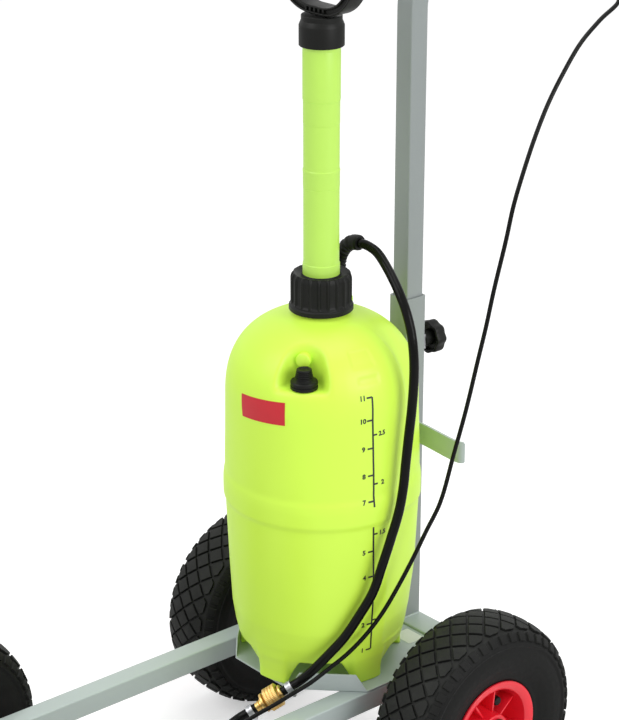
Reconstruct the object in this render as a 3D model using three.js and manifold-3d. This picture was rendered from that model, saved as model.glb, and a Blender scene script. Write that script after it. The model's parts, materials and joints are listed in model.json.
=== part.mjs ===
// A four-wheeled sprayer cart: a low tube frame with a pressure tank on a tray, a sliding push post behind it,
// and a spray valve low between the front wheels, worked by a lever on the handle through a cable.
// Millimetres, +Z up, +X to the right of somebody walking behind the cart, -Y is the way it rolls forward.

import * as THREE from 'three';
import { mergeVertices } from 'three/addons/utils/BufferGeometryUtils.js';
import Module from 'manifold-3d';

const wasm = await Module();
wasm.setup();

// ---------------------------------------------------------------- driving dimensions

const gap = 0.3;                 // between two pieces that touch, and around a shaft in its bore
const wheelFacets = 24;
const pinFacets = 16;

// The radius of a faceted bore whose flats still clear a round shaft by the gap.
const around = (shaft, facets) => (shaft + gap) / Math.cos(Math.PI / facets);

const wheelDiameter = 260;
const tyreWidth = 85;
const tyreWall = 7;
const rimDiameter = 124;
const rimWidth = 76;
const rimWall = 3.5;
const rimFlange = 8;              // the flanges stand this far above the seat of the tyre
const rimRibCount = 8;
const rimRibWidth = 4;
const rimRibReach = 24;           // each side of the rim's middle plane
const hubLength = 75;
const hubDiameter = 44;
const bushWall = 3;
const track = 385.4;             // between the centre planes of two opposite wheels
const wheelbase = 497;
const rearAxleY = 76;
const axleDiameter = 20;
const axleStub = 7;              // axle left outside the hub, under its cap
const axleCollarWidth = 8;
const axleCapDiameter = 32;
const axleCapWall = 2.5;

const tubeSize = 25;
const tubeWall = 2;
const frontOverhang = 25;        // side tube in front of the front axle
const plugThickness = 5;
const plugDepth = 12;
const crossTubeSetback = 58;     // from the front axle back to the middle of the cross tube
const beamDepth = 34;
const beamHeight = 30;

const trayThickness = 1.8;
const trayFrontY = -83;
const trayChamfer = 66;
const lipHeight = 20;
const lipSlope = 14;             // how far each end of a folded lip leans in

const sleeveSize = 30;
const sleeveWall = 2;
const sleeveLength = 415;
const postSize = 25;
const postWall = 2;
const postBottom = 390;
const postBendHeight = 925;
const postBendRadius = 50;
const clampHeight = 524;
const clampScrewDiameter = 8;
const clampScrewSlack = 1.2;     // how far the screw is backed off from the post
const clampNutSize = 18;
const clampNutThickness = 7;
const knobDiameter = 42;
const knobThickness = 16;
const knobLobes = 7;
const backrestHeight = 429;
const backrestWidth = 216;
const backrestBarHeight = 26;
const backrestThickness = 3;
const backrestBendRadius = 14;
const backrestBendAngle = 70;    // degrees that each end is bent back

const handleY = 430;
const handleLength = 400;
const handleDiameter = 25;
const handleWall = 2;
const gripLength = 115;
const gripDiameter = 33;
const gripEndThickness = 3;
const gripFlange = 2;            // the guard at the inner end stands this far out

const tankY = 9;
const tankRadius = 114;          // widest, under the shoulder
const tankBackGap = 0.9;         // from the tank to the backrest behind it
const tankWaistRadius = 108.5;   // below the ridge
const tankBottomRadius = 100;
const tankFootRadius = 90;
const tankRidge = 1.5;           // the ridge stands this far out
const tankRidgeHeight = 203;
const tankRidgeWidth = 14;
const tankShoulderHeight = 310;
const tankHeight = 430.8;          // foot to the top of the dome
const tankWall = 3;
const domePower = 2.38;
const neckRadius = 31;
const neckHeight = 36.8;
const neckWall = 3.5;
const footCount = 5;
const footTurn = -77;            // degrees, the first foot's direction
const archHeight = 31;
const archTopWidth = 46;
const archBottomWidth = 84;

const pumpRadius = 21;
const pumpWall = 2.7;
const pumpAboveNeck = 289.7;
const pumpBelowNeck = 115;
const pumpFlangeThickness = 3.6;
const capWall = 3;
const capHeight = 44;
const capTopThickness = 5.5;
const capFlutes = 20;
const capFluteDepth = 1.2;
const collarWall = 3.5;
const collarHeight = 33;
const collarSkirt = 20;
const rodRadius = 6;
const pistonLength = 20;
const pistonRest = 4;            // from the piston down to the floor of the cylinder
const pumpHandleWidth = 126;
const pumpHandleHeight = 78;
const pumpHandleBar = 12;
const pumpHandleDepth = 22;

const valveTurn = -53;           // degrees, the relief valve's direction from the tank's axis
const valveRadial = 88;
const valveFloorHeight = 370.5;  // above the tank's foot
const valvePocketRadius = 27;
const valvePocketSetback = 9;    // the pocket's round end sits this far outside the valve
const valveFlangeRadius = 15.4;
const valveStemRadius = 7;
const valveKnobRadius = 9.8;
const valveKnobHeight = 10.5;

const outletX = -21;
const outletY = 54.7;
const outletPadRadius = 15;
const outletPadHeight = 431.6;
const outletStemRadius = 6;
const outletStemLength = 24;
const outletFittingHeight = 16;
const dipTubeRadius = 5;
const dipTubeWall = 2;
const dipTubeClearance = 42;     // from the dip tube's mouth down to the foot of the tank
const protectorRadius = 8;
const hoseDiameter = 11;
const cableDiameter = 5;

const couplingRadius = 11.8;
const couplingBodyRadius = 8.2;
const couplingLength = 26;
const plugLength = 9;
const clampBand = 7;
const clampSetback = 6;          // from the hose's end to its clamp

const nozzleX = 20;
const bracketThickness = 4;
const bracketWidth = 44;
const bracketDrop = 60;
const valveBodyRadius = 12;
const valveBodyHeight = 34;
const valveBodyTop = 130;
const inletLength = 16;
const nozzleRadius = 8;
const nozzleLength = 16;

const leverToGrip = 2;
const leverClampWidth = 22;
const leverClampWall = 3.5;
const leverBladeLength = 115;
const leverPinDiameter = 5;
const leverThickness = 5;
const leverBladeWidth = 9;
const leverBladeHeight = 8;
const leverArmHalf = 5;
const leverPinSetback = 10;      // the pin, the blade and the cable's stop, in front of the handle bar
const bladeSetback = 44;
const cableStopSetback = 55;
const leverPinDrop = 26;         // and below or above it
const bladeRise = 4;
const cableStopDrop = 17;

// ---------------------------------------------------------------- what follows from them

const postY = tankY + tankRadius + tankBackGap + backrestThickness + gap + sleeveSize / 2;
const frameWidth = 2 * tankRadius; // the side tubes' outer faces are in line with the tank's sides
const axleHeight = wheelDiameter / 2;
const frontAxleY = rearAxleY - wheelbase;
const bushInner = around(axleDiameter / 2, wheelFacets);
const bushOuter = bushInner + bushWall;
const wheelX = track / 2;
const tubeBottom = axleHeight + axleDiameter / 2 + gap;
const tubeTop = tubeBottom + tubeSize;
const sideTubeX = (frameWidth - tubeSize) / 2;
const sideTubeFront = frontAxleY - frontOverhang;
const beamFront = postY - sleeveSize / 2 - (beamDepth - sleeveSize) / 2;
const beamTop = tubeBottom + beamHeight;
const trayTop = tubeTop + gap + trayThickness;
const trayBackY = beamFront - gap;
const sleeveBottom = beamTop + gap;
const sleeveTop = sleeveBottom + sleeveLength;
const sleeveFrontY = postY - sleeveSize / 2;
const sleeveBackY = postY + sleeveSize / 2;
const handleZ = postBendHeight + postBendRadius;
const tankFoot = trayTop + gap;
const domeTop = tankFoot + tankHeight;
const neckTop = domeTop + neckHeight;
const pumpFlangeBottom = neckTop + gap;
const pumpFlangeTop = pumpFlangeBottom + pumpFlangeThickness;
const pumpBottom = neckTop - pumpBelowNeck;
const pumpTop = neckTop + pumpAboveNeck;
const pumpBore = pumpRadius - pumpWall;
const pumpFloor = pumpBottom + pumpWall;
const capInside = around(neckRadius, 40);
const capBottom = domeTop + 2.5;
const collarBottom = pumpTop - collarSkirt;
const collarTop = collarBottom + collarHeight;
const pistonBottom = pumpFloor + pistonRest;
const crossTubeY = frontAxleY + crossTubeSetback;
const crossTubeBack = crossTubeY + tubeSize / 2;
const frontEnd = frontAxleY - wheelDiameter / 2;
const leverX = handleLength / 2 - gripLength - leverToGrip - leverClampWidth / 2;
const rearEnd = handleY + gripDiameter / 2 + gripFlange;

// ---------------------------------------------------------------- materials

const paint = new THREE.MeshStandardMaterial({ color: 0xb4c0b6, roughness: 0.35, metalness: 0.2 });
const tankPlastic = new THREE.MeshStandardMaterial({ color: 0xc6ee2c, roughness: 0.4, metalness: 0 });
const pumpPlastic = new THREE.MeshStandardMaterial({ color: 0xb4f03c, roughness: 0.35, metalness: 0 });
const blackPlastic = new THREE.MeshStandardMaterial({ color: 0x151516, roughness: 0.45, metalness: 0 });
const blackRubber = new THREE.MeshStandardMaterial({ color: 0x1a1b1c, roughness: 0.8, metalness: 0 });
const redPlastic = new THREE.MeshStandardMaterial({ color: 0xd01226, roughness: 0.35, metalness: 0 });
const brass = new THREE.MeshStandardMaterial({ color: 0xc8a04a, roughness: 0.35, metalness: 1 });
const steel = new THREE.MeshStandardMaterial({ color: 0xb9bec2, roughness: 0.35, metalness: 1 });
const nylon = new THREE.MeshStandardMaterial({ color: 0xd8d4c8, roughness: 0.5, metalness: 0 });

// ---------------------------------------------------------------- helpers for solids

const up = new THREE.Vector3(0, 0, 1);
const turn = (degrees) => THREE.MathUtils.degToRad(degrees);
const point = (x, y, z) => new THREE.Vector3(x, y, z);

// Welds a geometry into one closed skin, with its faces pointing out.
function closed(geometry) {
  const bare = geometry.index ? geometry.toNonIndexed() : geometry.clone();
  bare.deleteAttribute('normal');
  bare.deleteAttribute('uv');
  const welded = mergeVertices(bare, 1e-4);
  const at = welded.getAttribute('position');
  const corner = (index) => new THREE.Vector3().fromBufferAttribute(at, index);
  const kept = [];
  let volume = 0;
  for (let i = 0; i < welded.index.count; i += 3) {
    const [a, b, c] = [0, 1, 2].map((k) => welded.index.getX(i + k));
    if (a === b || b === c || c === a) continue;
    kept.push([a, b, c]);
    volume += corner(a).dot(corner(b).cross(corner(c)));
  }
  const order = volume > 0 ? kept : kept.map(([a, b, c]) => [a, c, b]);
  welded.setIndex(order.flat());
  return welded;
}

function toSolid(geometry) {
  const skin = closed(geometry);
  return new wasm.Manifold(new wasm.Mesh({
    numProp: 3,
    vertProperties: new Float32Array(skin.getAttribute('position').array),
    triVerts: new Uint32Array(skin.index.array),
  }));
}

function toGeometry(solid) {
  const mesh = solid.getMesh();
  const geometry = new THREE.BufferGeometry();
  geometry.setAttribute('position', new THREE.BufferAttribute(mesh.vertProperties, 3));
  geometry.setIndex(new THREE.BufferAttribute(mesh.triVerts, 1));
  return geometry;
}

const joined = (...parts) => toGeometry(parts.map(toSolid).reduce((all, next) => all.add(next)));
const cut = (body, ...tools) => toGeometry(tools.map(toSolid).reduce((all, tool) => all.subtract(tool), toSolid(body)));

// A profile of [radius, height] pairs, turned about Z.
function turned(profile, segments) {
  const points = profile.map(([radius, height]) => new THREE.Vector2(radius, height));
  return closed(new THREE.LatheGeometry(points, segments).rotateX(Math.PI / 2));
}

// The same, closed on itself: the ring between an outer and an inner outline.
const ring = (profile, segments) => turned([...profile, profile[0]], segments);

function block(width, depth, height, centre) {
  return closed(new THREE.BoxGeometry(width, depth, height).translate(centre.x, centre.y, centre.z));
}

function disc(radius, bottom, top, segments = 24) {
  return turned([[0, bottom], [radius, bottom], [radius, top], [0, top]], segments);
}

// An outline in X and Y, drawn out from one height to another.
function prism(shape, bottom, top, curveSegments = 6) {
  const depth = top - bottom;
  return closed(new THREE.ExtrudeGeometry(shape, { depth, bevelEnabled: false, curveSegments }).translate(0, 0, bottom));
}

function squareShape(size, wall) {
  const half = size / 2;
  const outline = (h) => [[-h, -h], [h, -h], [h, h], [-h, h]].map(([x, y]) => new THREE.Vector2(x, y));
  const shape = new THREE.Shape(outline(half));
  if (wall) shape.holes.push(new THREE.Path(outline(half - wall)));
  return shape;
}

function roundShape(radius) {
  const shape = new THREE.Shape();
  shape.absarc(0, 0, radius, 0, 2 * Math.PI, false);
  return shape;
}

function swept(shape, path, steps, curveSegments = 4) {
  return closed(new THREE.ExtrudeGeometry(shape, { extrudePath: path, steps, curveSegments, bevelEnabled: false }));
}

const route = (points) => new THREE.CatmullRomCurve3(points, false, 'centripetal');

// ---------------------------------------------------------------- the assembly

const cart = new THREE.Group();
cart.position.y = -(frontEnd + rearEnd) / 2;     // the origin is on the ground, under the middle of the cart

function add(name, geometry, material, parent = cart) {
  const mesh = new THREE.Mesh(geometry, material);
  mesh.name = name;
  parent.add(mesh);
  return mesh;
}

// ---------------------------------------------------------------- wheels and axles

function tyreGeometry() {
  const outer = wheelDiameter / 2;
  const half = tyreWidth / 2;
  const rimEdge = rimDiameter / 2;
  const seat = rimEdge - rimFlange + gap * 1.1;   // the bead sits between the rim's flanges
  const bead = rimWidth / 2 - rimWall - gap;
  const side = [
    [outer, 0], [outer - 1.5, half * 0.5], [outer - 9, half * 0.83], [outer - 28, half],
    [rimEdge + 8, bead + 4], [rimEdge, bead], [seat, bead], [seat, bead - 8],
    [outer - 30, half - tyreWall], [outer - tyreWall - 4, half * 0.62],
  ];
  const inside = [outer - tyreWall, 0];
  const mirrored = side.slice(1).reverse().map(([radius, x]) => [radius, -x]);
  return ring([...side, inside, ...mirrored], wheelFacets).rotateY(Math.PI / 2);
}

function rimGeometry() {
  const outer = rimDiameter / 2;
  const half = rimWidth / 2;
  const hub = hubLength / 2;
  const hubRadius = hubDiameter / 2;
  const bore = around(bushOuter, wheelFacets);
  const seat = outer - rimFlange;
  const barrel = seat - rimWall;
  const web = 3;
  const side = [
    [outer, half - rimWall], [outer, half], [barrel, half - 2], [barrel - 6, web], [hubRadius, web],
    [hubRadius - 2, hub], [bore, hub],
  ];
  const mirrored = side.slice().reverse().map(([radius, x]) => [radius, -x]);
  const well = [[seat, -half + rimWall], [seat - 4, 0], [seat, half - rimWall]];
  const body = ring([...side, ...mirrored, ...well], wheelFacets);
  const ribs = [];
  for (let i = 0; i < rimRibCount; i++) {
    const reach = barrel - 3 - (hubRadius - 3);
    const rib = block(reach, rimRibWidth, 2 * rimRibReach, point(hubRadius - 3 + reach / 2, 0, 0));
    ribs.push(rib.rotateZ((2 * Math.PI * i) / rimRibCount + Math.PI / wheelFacets));
  }
  return joined(body, ...ribs).rotateY(Math.PI / 2);
}

function bushGeometry() {
  const half = hubLength / 2;
  return ring([[bushInner, -half], [bushOuter, -half], [bushOuter, half], [bushInner, half]], wheelFacets)
    .rotateY(Math.PI / 2);
}

// One bar right across, with a pressed collar that keeps each wheel off the frame.
function axleGeometry() {
  const radius = axleDiameter / 2;
  const end = wheelX + hubLength / 2 + axleStub;
  const stop = wheelX - hubLength / 2 - gap;
  const collar = radius + 5;
  const half = [
    [0, end], [radius - 1, end], [radius, end - 1], [radius, stop], [collar, stop],
    [collar, stop - axleCollarWidth], [radius, stop - axleCollarWidth],
  ];
  const mirrored = half.slice().reverse().map(([r, x]) => [r, -x]);
  return turned([...half, ...mirrored], pinFacets).rotateY(Math.PI / 2);
}

// A push-on cap over the stub of the axle.
function axleCapGeometry() {
  const inner = around(axleDiameter / 2, pinFacets);
  const start = hubLength / 2 + gap;
  const floor = hubLength / 2 + axleStub + gap;
  const top = floor + axleCapWall;
  const outer = axleCapDiameter / 2;
  const profile = [
    [0, floor], [inner, floor], [inner, start], [outer, start], [outer, start + 3],
    [inner + axleCapWall, top - 2], [inner, top], [0, top],
  ];
  return turned(profile, pinFacets).rotateY(Math.PI / 2);
}

const tyre = tyreGeometry();
const rim = rimGeometry();
const bush = bushGeometry();
const axleCap = axleCapGeometry();
for (const [end, y] of [['rear', rearAxleY], ['front', frontAxleY]]) {
  add(`${end}_axle`, axleGeometry(), steel).position.set(0, y, axleHeight);
  for (const [side, sign] of [['left', -1], ['right', 1]]) {
    const wheel = new THREE.Group();
    wheel.position.set(sign * wheelX, y, axleHeight);
    wheel.rotation.z = sign > 0 ? 0 : Math.PI;
    cart.add(wheel);
    add(`tyre_${end}_${side}`, tyre, blackRubber, wheel);
    add(`rim_${end}_${side}`, rim, redPlastic, wheel);
    add(`bush_${end}_${side}`, bush, nylon, wheel);
    add(`axle_cap_${end}_${side}`, axleCap, blackPlastic, wheel);
  }
}

// ---------------------------------------------------------------- frame

function sideTubeGeometry() {
  const length = beamFront - gap - sideTubeFront;
  return prism(squareShape(tubeSize, tubeWall), 0, length).rotateX(-Math.PI / 2);
}

// A plastic plug: a plate over the end of the tube, with a spigot inside it.
function tubePlugGeometry() {
  const spigot = tubeSize - 2 * (tubeWall + gap);
  const plate = block(tubeSize, plugThickness, tubeSize, point(0, -plugThickness / 2 - gap, 0));
  const inside = block(spigot, plugDepth, spigot, point(0, plugDepth / 2 - gap - 0.5, 0));
  return joined(plate, inside);
}

for (const [side, sign] of [['left', -1], ['right', 1]]) {
  const middle = point(sign * sideTubeX, sideTubeFront, tubeBottom + tubeSize / 2);
  add(`side_tube_${side}`, sideTubeGeometry(), paint).position.copy(middle);
  add(`tube_plug_${side}`, tubePlugGeometry(), blackPlastic).position.copy(middle);
}

const betweenTubes = frameWidth - 2 * (tubeSize + gap);
const crossTube = prism(squareShape(tubeSize, tubeWall), -betweenTubes / 2, betweenTubes / 2).rotateY(Math.PI / 2);
add('front_cross_tube', crossTube, paint).position.set(0, crossTubeY, tubeBottom + tubeSize / 2);

function beamGeometry() {
  const outline = (inset) => [[-1, -1], [1, -1], [1, 1], [-1, 1]].map(
    ([h, d]) => new THREE.Vector2(h * (beamHeight / 2 - inset), d * (beamDepth / 2 - inset)));
  const shape = new THREE.Shape(outline(0));
  shape.holes.push(new THREE.Path(outline(tubeWall)));
  return prism(shape, -frameWidth / 2, frameWidth / 2).rotateY(Math.PI / 2);
}
add('rear_cross_beam', beamGeometry(), paint).position.set(0, beamFront + beamDepth / 2, tubeBottom + beamHeight / 2);

// A folded sheet: its two front corners are cut off and turned up as lips.
function trayGeometry() {
  const half = frameWidth / 2;
  const bottom = trayTop - trayThickness;
  const outline = [
    [-half, trayBackY], [-half, trayFrontY + trayChamfer], [-half + trayChamfer, trayFrontY],
    [half - trayChamfer, trayFrontY], [half, trayFrontY + trayChamfer], [half, trayBackY],
  ].map(([x, y]) => new THREE.Vector2(x, y));
  const sheet = prism(new THREE.Shape(outline), bottom, trayTop);
  const length = trayChamfer * Math.SQRT2;
  const lipShape = new THREE.Shape([
    new THREE.Vector2(-length / 2, 0), new THREE.Vector2(length / 2, 0),
    new THREE.Vector2(length / 2 - lipSlope, lipHeight + trayThickness),
    new THREE.Vector2(-length / 2 + lipSlope, lipHeight + trayThickness),
  ]);
  const lip = (sign) => prism(lipShape, 0, trayThickness)
    .rotateX(Math.PI / 2)
    .rotateZ(sign * Math.PI / 4)
    .translate(sign * (half - trayChamfer / 2), trayFrontY + trayChamfer / 2, bottom)
    .translate(-sign * trayThickness * Math.SQRT1_2, trayThickness * Math.SQRT1_2, 0);
  return joined(sheet, lip(1), lip(-1));
}
add('tray', trayGeometry(), paint);

// ---------------------------------------------------------------- push post and its clamp

function sleeveGeometry() {
  const tube = prism(squareShape(sleeveSize, sleeveWall), sleeveBottom, sleeveTop);
  const hole = disc(around(clampScrewDiameter / 2, pinFacets), 0, sleeveSize, pinFacets).rotateX(-Math.PI / 2).translate(0, 0, clampHeight);
  return cut(tube, hole);
}
add('post_sleeve', sleeveGeometry(), paint).position.set(0, postY, 0);

function clampNutGeometry() {
  const nut = block(clampNutSize, clampNutThickness, clampNutSize, point(0, clampNutThickness / 2, 0));
  return cut(nut, disc(around(clampScrewDiameter / 2, pinFacets), -1, clampNutThickness + 1, pinFacets).rotateX(-Math.PI / 2));
}
add('clamp_nut', clampNutGeometry(), steel).position.set(0, sleeveBackY + gap, clampHeight);

const screwTip = postY + postSize / 2 + clampScrewSlack;
const knobStart = sleeveBackY + gap + clampNutThickness + gap;
const knobHub = 6;

function clampScrewGeometry() {
  return disc(clampScrewDiameter / 2, 0, knobStart + knobHub - screwTip, 16).rotateX(-Math.PI / 2);
}
add('clamp_screw', clampScrewGeometry(), steel).position.set(0, screwTip, clampHeight);

// A star knob: round lobes about a disc, on a short hub that the screw goes into.
function knobGeometry() {
  const lobe = 6;
  const middle = knobDiameter / 2 - lobe;
  const star = new THREE.Shape();
  const steps = knobLobes * 8;
  for (let i = 0; i < steps; i++) {
    const angle = (2 * Math.PI * i) / steps;
    const radius = middle + lobe * (0.55 + 0.45 * Math.cos(knobLobes * angle));
    const at = [radius * Math.cos(angle), radius * Math.sin(angle)];
    if (i === 0) star.moveTo(...at);
    else star.lineTo(...at);
  }
  const head = prism(star, knobHub, knobHub + knobThickness);
  const hub = disc(10, 0, knobHub + 1, 20);
  const socket = disc(around(clampScrewDiameter / 2, pinFacets), -1, knobHub + gap, pinFacets);
  return cut(joined(head, hub), socket).rotateX(-Math.PI / 2);
}
add('clamp_knob', knobGeometry(), blackPlastic).position.set(0, knobStart, clampHeight);

// A flat bar across the back of the tank, both ends bent away from it.
function backrestGeometry() {
  const bend = turn(backrestBendAngle);
  const radius = backrestBendRadius;
  const straight = backrestWidth / 2 - radius;
  const outer = radius + backrestThickness;
  const shape = new THREE.Shape();
  shape.moveTo(-straight, 0);
  shape.lineTo(straight, 0);
  shape.absarc(straight, outer, outer, -Math.PI / 2, -Math.PI / 2 + bend, false);
  shape.absarc(straight, outer, radius, -Math.PI / 2 + bend, -Math.PI / 2, true);
  shape.lineTo(-straight, backrestThickness);
  shape.absarc(-straight, outer, radius, -Math.PI / 2, -Math.PI / 2 - bend, true);
  shape.absarc(-straight, outer, outer, -Math.PI / 2 - bend, -Math.PI / 2, false);
  return prism(shape, backrestHeight - backrestBarHeight / 2, backrestHeight + backrestBarHeight / 2, 6);
}
add('tank_backrest', backrestGeometry(), paint).position.set(0, sleeveFrontY - gap - backrestThickness, 0);

// The inner tube rises out of the sleeve and bends back to carry the handle bar.
function postRoute() {
  const stemEnd = handleY - handleDiameter / 2 - gap;
  const path = new THREE.CurvePath();
  path.add(new THREE.LineCurve3(point(0, postY, postBottom), point(0, postY, postBendHeight)));
  const bendSteps = 8;
  const corner = (i) => {
    const angle = (Math.PI / 2) * (i / bendSteps);
    const across = postBendRadius * (1 - Math.cos(angle));
    return point(0, postY + across, postBendHeight + postBendRadius * Math.sin(angle));
  };
  for (let i = 0; i < bendSteps; i++) path.add(new THREE.LineCurve3(corner(i), corner(i + 1)));
  path.add(new THREE.LineCurve3(corner(bendSteps), point(0, stemEnd, handleZ)));
  return path;
}

// Sections of the square tube are laid across the path by hand, so that they stay square to it.
function bentTube(path, size, wall) {
  const corners = [path.curves[0].v1, ...path.curves.map((line) => line.v2)];
  const loops = corners.map((at, i) => {
    const before = corners[Math.max(i - 1, 0)];
    const after = corners[Math.min(i + 1, corners.length - 1)];
    const along = after.clone().sub(before).normalize();
    const side = point(1, 0, 0);
    const outward = side.clone().cross(along);
    const loop = (half) => [[-1, -1], [1, -1], [1, 1], [-1, 1]].map(
      ([s, o]) => at.clone().addScaledVector(side, s * half).addScaledVector(outward, o * half));
    return [...loop(size / 2), ...loop(size / 2 - wall)];
  });
  const positions = loops.flat().flatMap((corner) => corner.toArray());
  const faces = [];
  const quad = (a, b, c, d) => faces.push(a, b, c, a, c, d);
  const last = loops.length - 1;
  for (let k = 0; k < 4; k++) {
    const next = (k + 1) % 4;
    for (let i = 0; i < last; i++) {
      const [here, there] = [8 * i, 8 * (i + 1)];
      quad(here + k, here + next, there + next, there + k);
      quad(here + 4 + next, here + 4 + k, there + 4 + k, there + 4 + next);
    }
    quad(k, 4 + k, 4 + next, next);
    quad(8 * last + next, 8 * last + 4 + next, 8 * last + 4 + k, 8 * last + k);
  }
  const geometry = new THREE.BufferGeometry();
  geometry.setAttribute('position', new THREE.Float32BufferAttribute(positions, 3));
  geometry.setIndex(faces);
  return closed(geometry);
}
add('post_tube', bentTube(postRoute(), postSize, postWall), paint);

const handleBar = ring([
  [handleDiameter / 2 - handleWall, -handleLength / 2], [handleDiameter / 2, -handleLength / 2],
  [handleDiameter / 2, handleLength / 2], [handleDiameter / 2 - handleWall, handleLength / 2],
], 20).rotateY(Math.PI / 2);
add('handle_bar', handleBar, paint).position.set(0, handleY, handleZ);

function gripGeometry() {
  const inner = around(handleDiameter / 2, 20);
  const outer = gripDiameter / 2;
  const floor = handleLength / 2 + gap;
  const end = floor + gripEndThickness;
  const start = handleLength / 2 - gripLength;
  const profile = [
    [0, floor], [inner, floor], [inner, start], [outer + gripFlange, start], [outer + gripFlange, start + 3],
    [outer - 1.5, start + 8], [outer, start + gripLength / 2], [outer - 1, end - 5], [outer - 4, end], [0, end],
  ];
  return turned(profile, 20);
}
add('grip_right', gripGeometry().rotateY(Math.PI / 2), blackRubber).position.set(0, handleY, handleZ);
add('grip_left', gripGeometry().rotateY(-Math.PI / 2), blackRubber).position.set(0, handleY, handleZ);

// ---------------------------------------------------------------- hand lever

const leverPivot = point(leverX, handleY - leverPinSetback, handleZ - leverPinDrop);
const bladeAt = point(leverX, handleY - bladeSetback, handleZ + bladeRise);
const cableStop = point(leverX, handleY - cableStopSetback, handleZ - cableStopDrop);
const stopRadius = 4.5;

// A plate in Y and Z, given by its outline, with its faces at two X places.
function sidePlate(points, from, to) {
  const shape = new THREE.Shape(points.map(([y, z]) => new THREE.Vector2(y, z)));
  return closed(new THREE.ExtrudeGeometry(shape, { depth: to - from, bevelEnabled: false })
    .applyMatrix4(new THREE.Matrix4().makeBasis(point(0, 1, 0), point(0, 0, 1), point(1, 0, 0)))
    .translate(from, 0, 0));
}

// The clamp on the bar, with two cheeks that hold the pin and an arm out to the cable's stop.
function leverBracketGeometry() {
  const half = leverClampWidth / 2;
  const inner = around(handleDiameter / 2, 20);
  const outer = inner + leverClampWall;
  const band = ring([[inner, -half], [outer, -half], [outer, half], [inner, half]], 20)
    .rotateY(Math.PI / 2).translate(leverX, handleY, handleZ);
  const slot = leverThickness / 2 + gap;
  const lugs = block(leverClampWidth, 16, 26, point(leverX, leverPivot.y + 2, leverPivot.z + 4));
  const arm = block(5, 62, 8, point(leverX + half - 2.5, handleY - 28, leverPivot.z - 4));
  const reach = leverX + half - cableStop.x;
  const rise = block(5, 10, 24, point(leverX + half - 2.5, cableStop.y + 3, leverPivot.z + 4));
  const bridge = block(reach, 10, 8, point(cableStop.x + reach / 2, cableStop.y + 3, cableStop.z));
  const stop = disc(stopRadius, 0, 12, 12).rotateX(Math.PI / 2)
    .translate(cableStop.x, cableStop.y + 8, cableStop.z);
  const pin = disc(leverPinDiameter / 2, -half, half, pinFacets).rotateY(Math.PI / 2)
    .translate(leverX, leverPivot.y, leverPivot.z);
  const room = block(2 * slot, 24, 40, point(leverX, leverPivot.y - 2, leverPivot.z - 1));
  const barHole = disc(inner, -half - 1, half + 1, 20).rotateY(Math.PI / 2).translate(leverX, handleY, handleZ);
  const wireHole = disc(1.5, -10, 30, 8).rotateX(Math.PI / 2).translate(cableStop.x, cableStop.y + 10, cableStop.z);
  return joined(cut(joined(band, lugs, arm, rise, bridge, stop), room, barHole, wireHole), pin);
}
add('lever_bracket', leverBracketGeometry(), blackPlastic);

// The lever hangs on the pin; its blade runs out in front of the right-hand grip.
function handLeverGeometry() {
  const half = leverThickness / 2;
  const { y, z } = leverPivot;
  const thick = leverArmHalf;
  const elbow = bladeAt.y + 1.4 * thick;
  const arm = sidePlate([
    [y + thick, z - thick], [y + thick, z + thick], [elbow + 9, z + 6], [elbow, z + 4 * thick],
    [bladeAt.y + thick, bladeAt.z + thick], [bladeAt.y - thick, bladeAt.z + thick],
    [bladeAt.y - thick, bladeAt.z - thick], [elbow - thick, z + 6], [elbow + thick, z - thick],
  ], leverX - half, leverX + half);
  const blade = block(
    leverBladeLength, leverBladeWidth, leverBladeHeight, point(leverX + leverBladeLength / 2 - half, bladeAt.y, bladeAt.z));
  const eye = disc(around(leverPinDiameter / 2, pinFacets), -half - 1, half + 1, pinFacets).rotateY(Math.PI / 2)
    .translate(leverX, y, z);
  return cut(joined(arm, blade), eye);
}
add('hand_lever', handLeverGeometry(), blackPlastic);

// ---------------------------------------------------------------- tank

const rise = (height) => tankFoot + height;

// The dome is a rounded shoulder: a superellipse from the body's side up to the flat round the neck.
function domeProfile(radius, top, lowest, steps, stopRadius) {
  const points = [];
  for (let i = 0; i < steps; i++) {
    const angle = (Math.PI / 2) * (i / steps);
    const r = radius * Math.cos(angle) ** (2 / domePower);
    const z = lowest + (top - lowest) * Math.sin(angle) ** (2 / domePower);
    if (r > stopRadius) points.push([r, z]);
  }
  return points;
}

function tankOuter() {
  const ridgeTop = tankRidgeHeight + tankRidgeWidth;
  const profile = [
    [0, rise(0)], [tankFootRadius, rise(0)], [tankFootRadius + 5, rise(archHeight * 0.4)],
    [tankBottomRadius, rise(archHeight)], [tankWaistRadius - 2, rise(archHeight + 40)],
    [tankWaistRadius, rise(archHeight + 90)], [tankRadius - 2, rise(tankRidgeHeight - 3)],
    [tankRadius + tankRidge, rise(tankRidgeHeight)], [tankRadius + tankRidge, rise(ridgeTop - 3)],
    [tankRadius, rise(ridgeTop)],
    ...domeProfile(tankRadius, domeTop, rise(tankShoulderHeight), 9, neckRadius + 4),
    [neckRadius, domeTop], [neckRadius, neckTop], [0, neckTop],
  ];
  return turned(profile, 40);
}

function tankInner() {
  const floor = rise(archHeight) + tankWall;
  const inset = tankWall;
  const profile = [
    [0, floor], [tankBottomRadius - inset - 8, floor], [tankBottomRadius - inset, floor + 10],
    [tankWaistRadius - inset, rise(archHeight + 90)], [tankRadius - inset - 2, rise(tankRidgeHeight)],
    [tankRadius - inset, rise(tankRidgeHeight + tankRidgeWidth)],
    ...domeProfile(tankRadius - inset, domeTop - inset, rise(tankShoulderHeight), 7, neckRadius + 1),
    [neckRadius - neckWall, domeTop - inset], [neckRadius - neckWall, neckTop + 1], [0, neckTop + 1],
  ];
  return turned(profile, 40);
}

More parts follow.
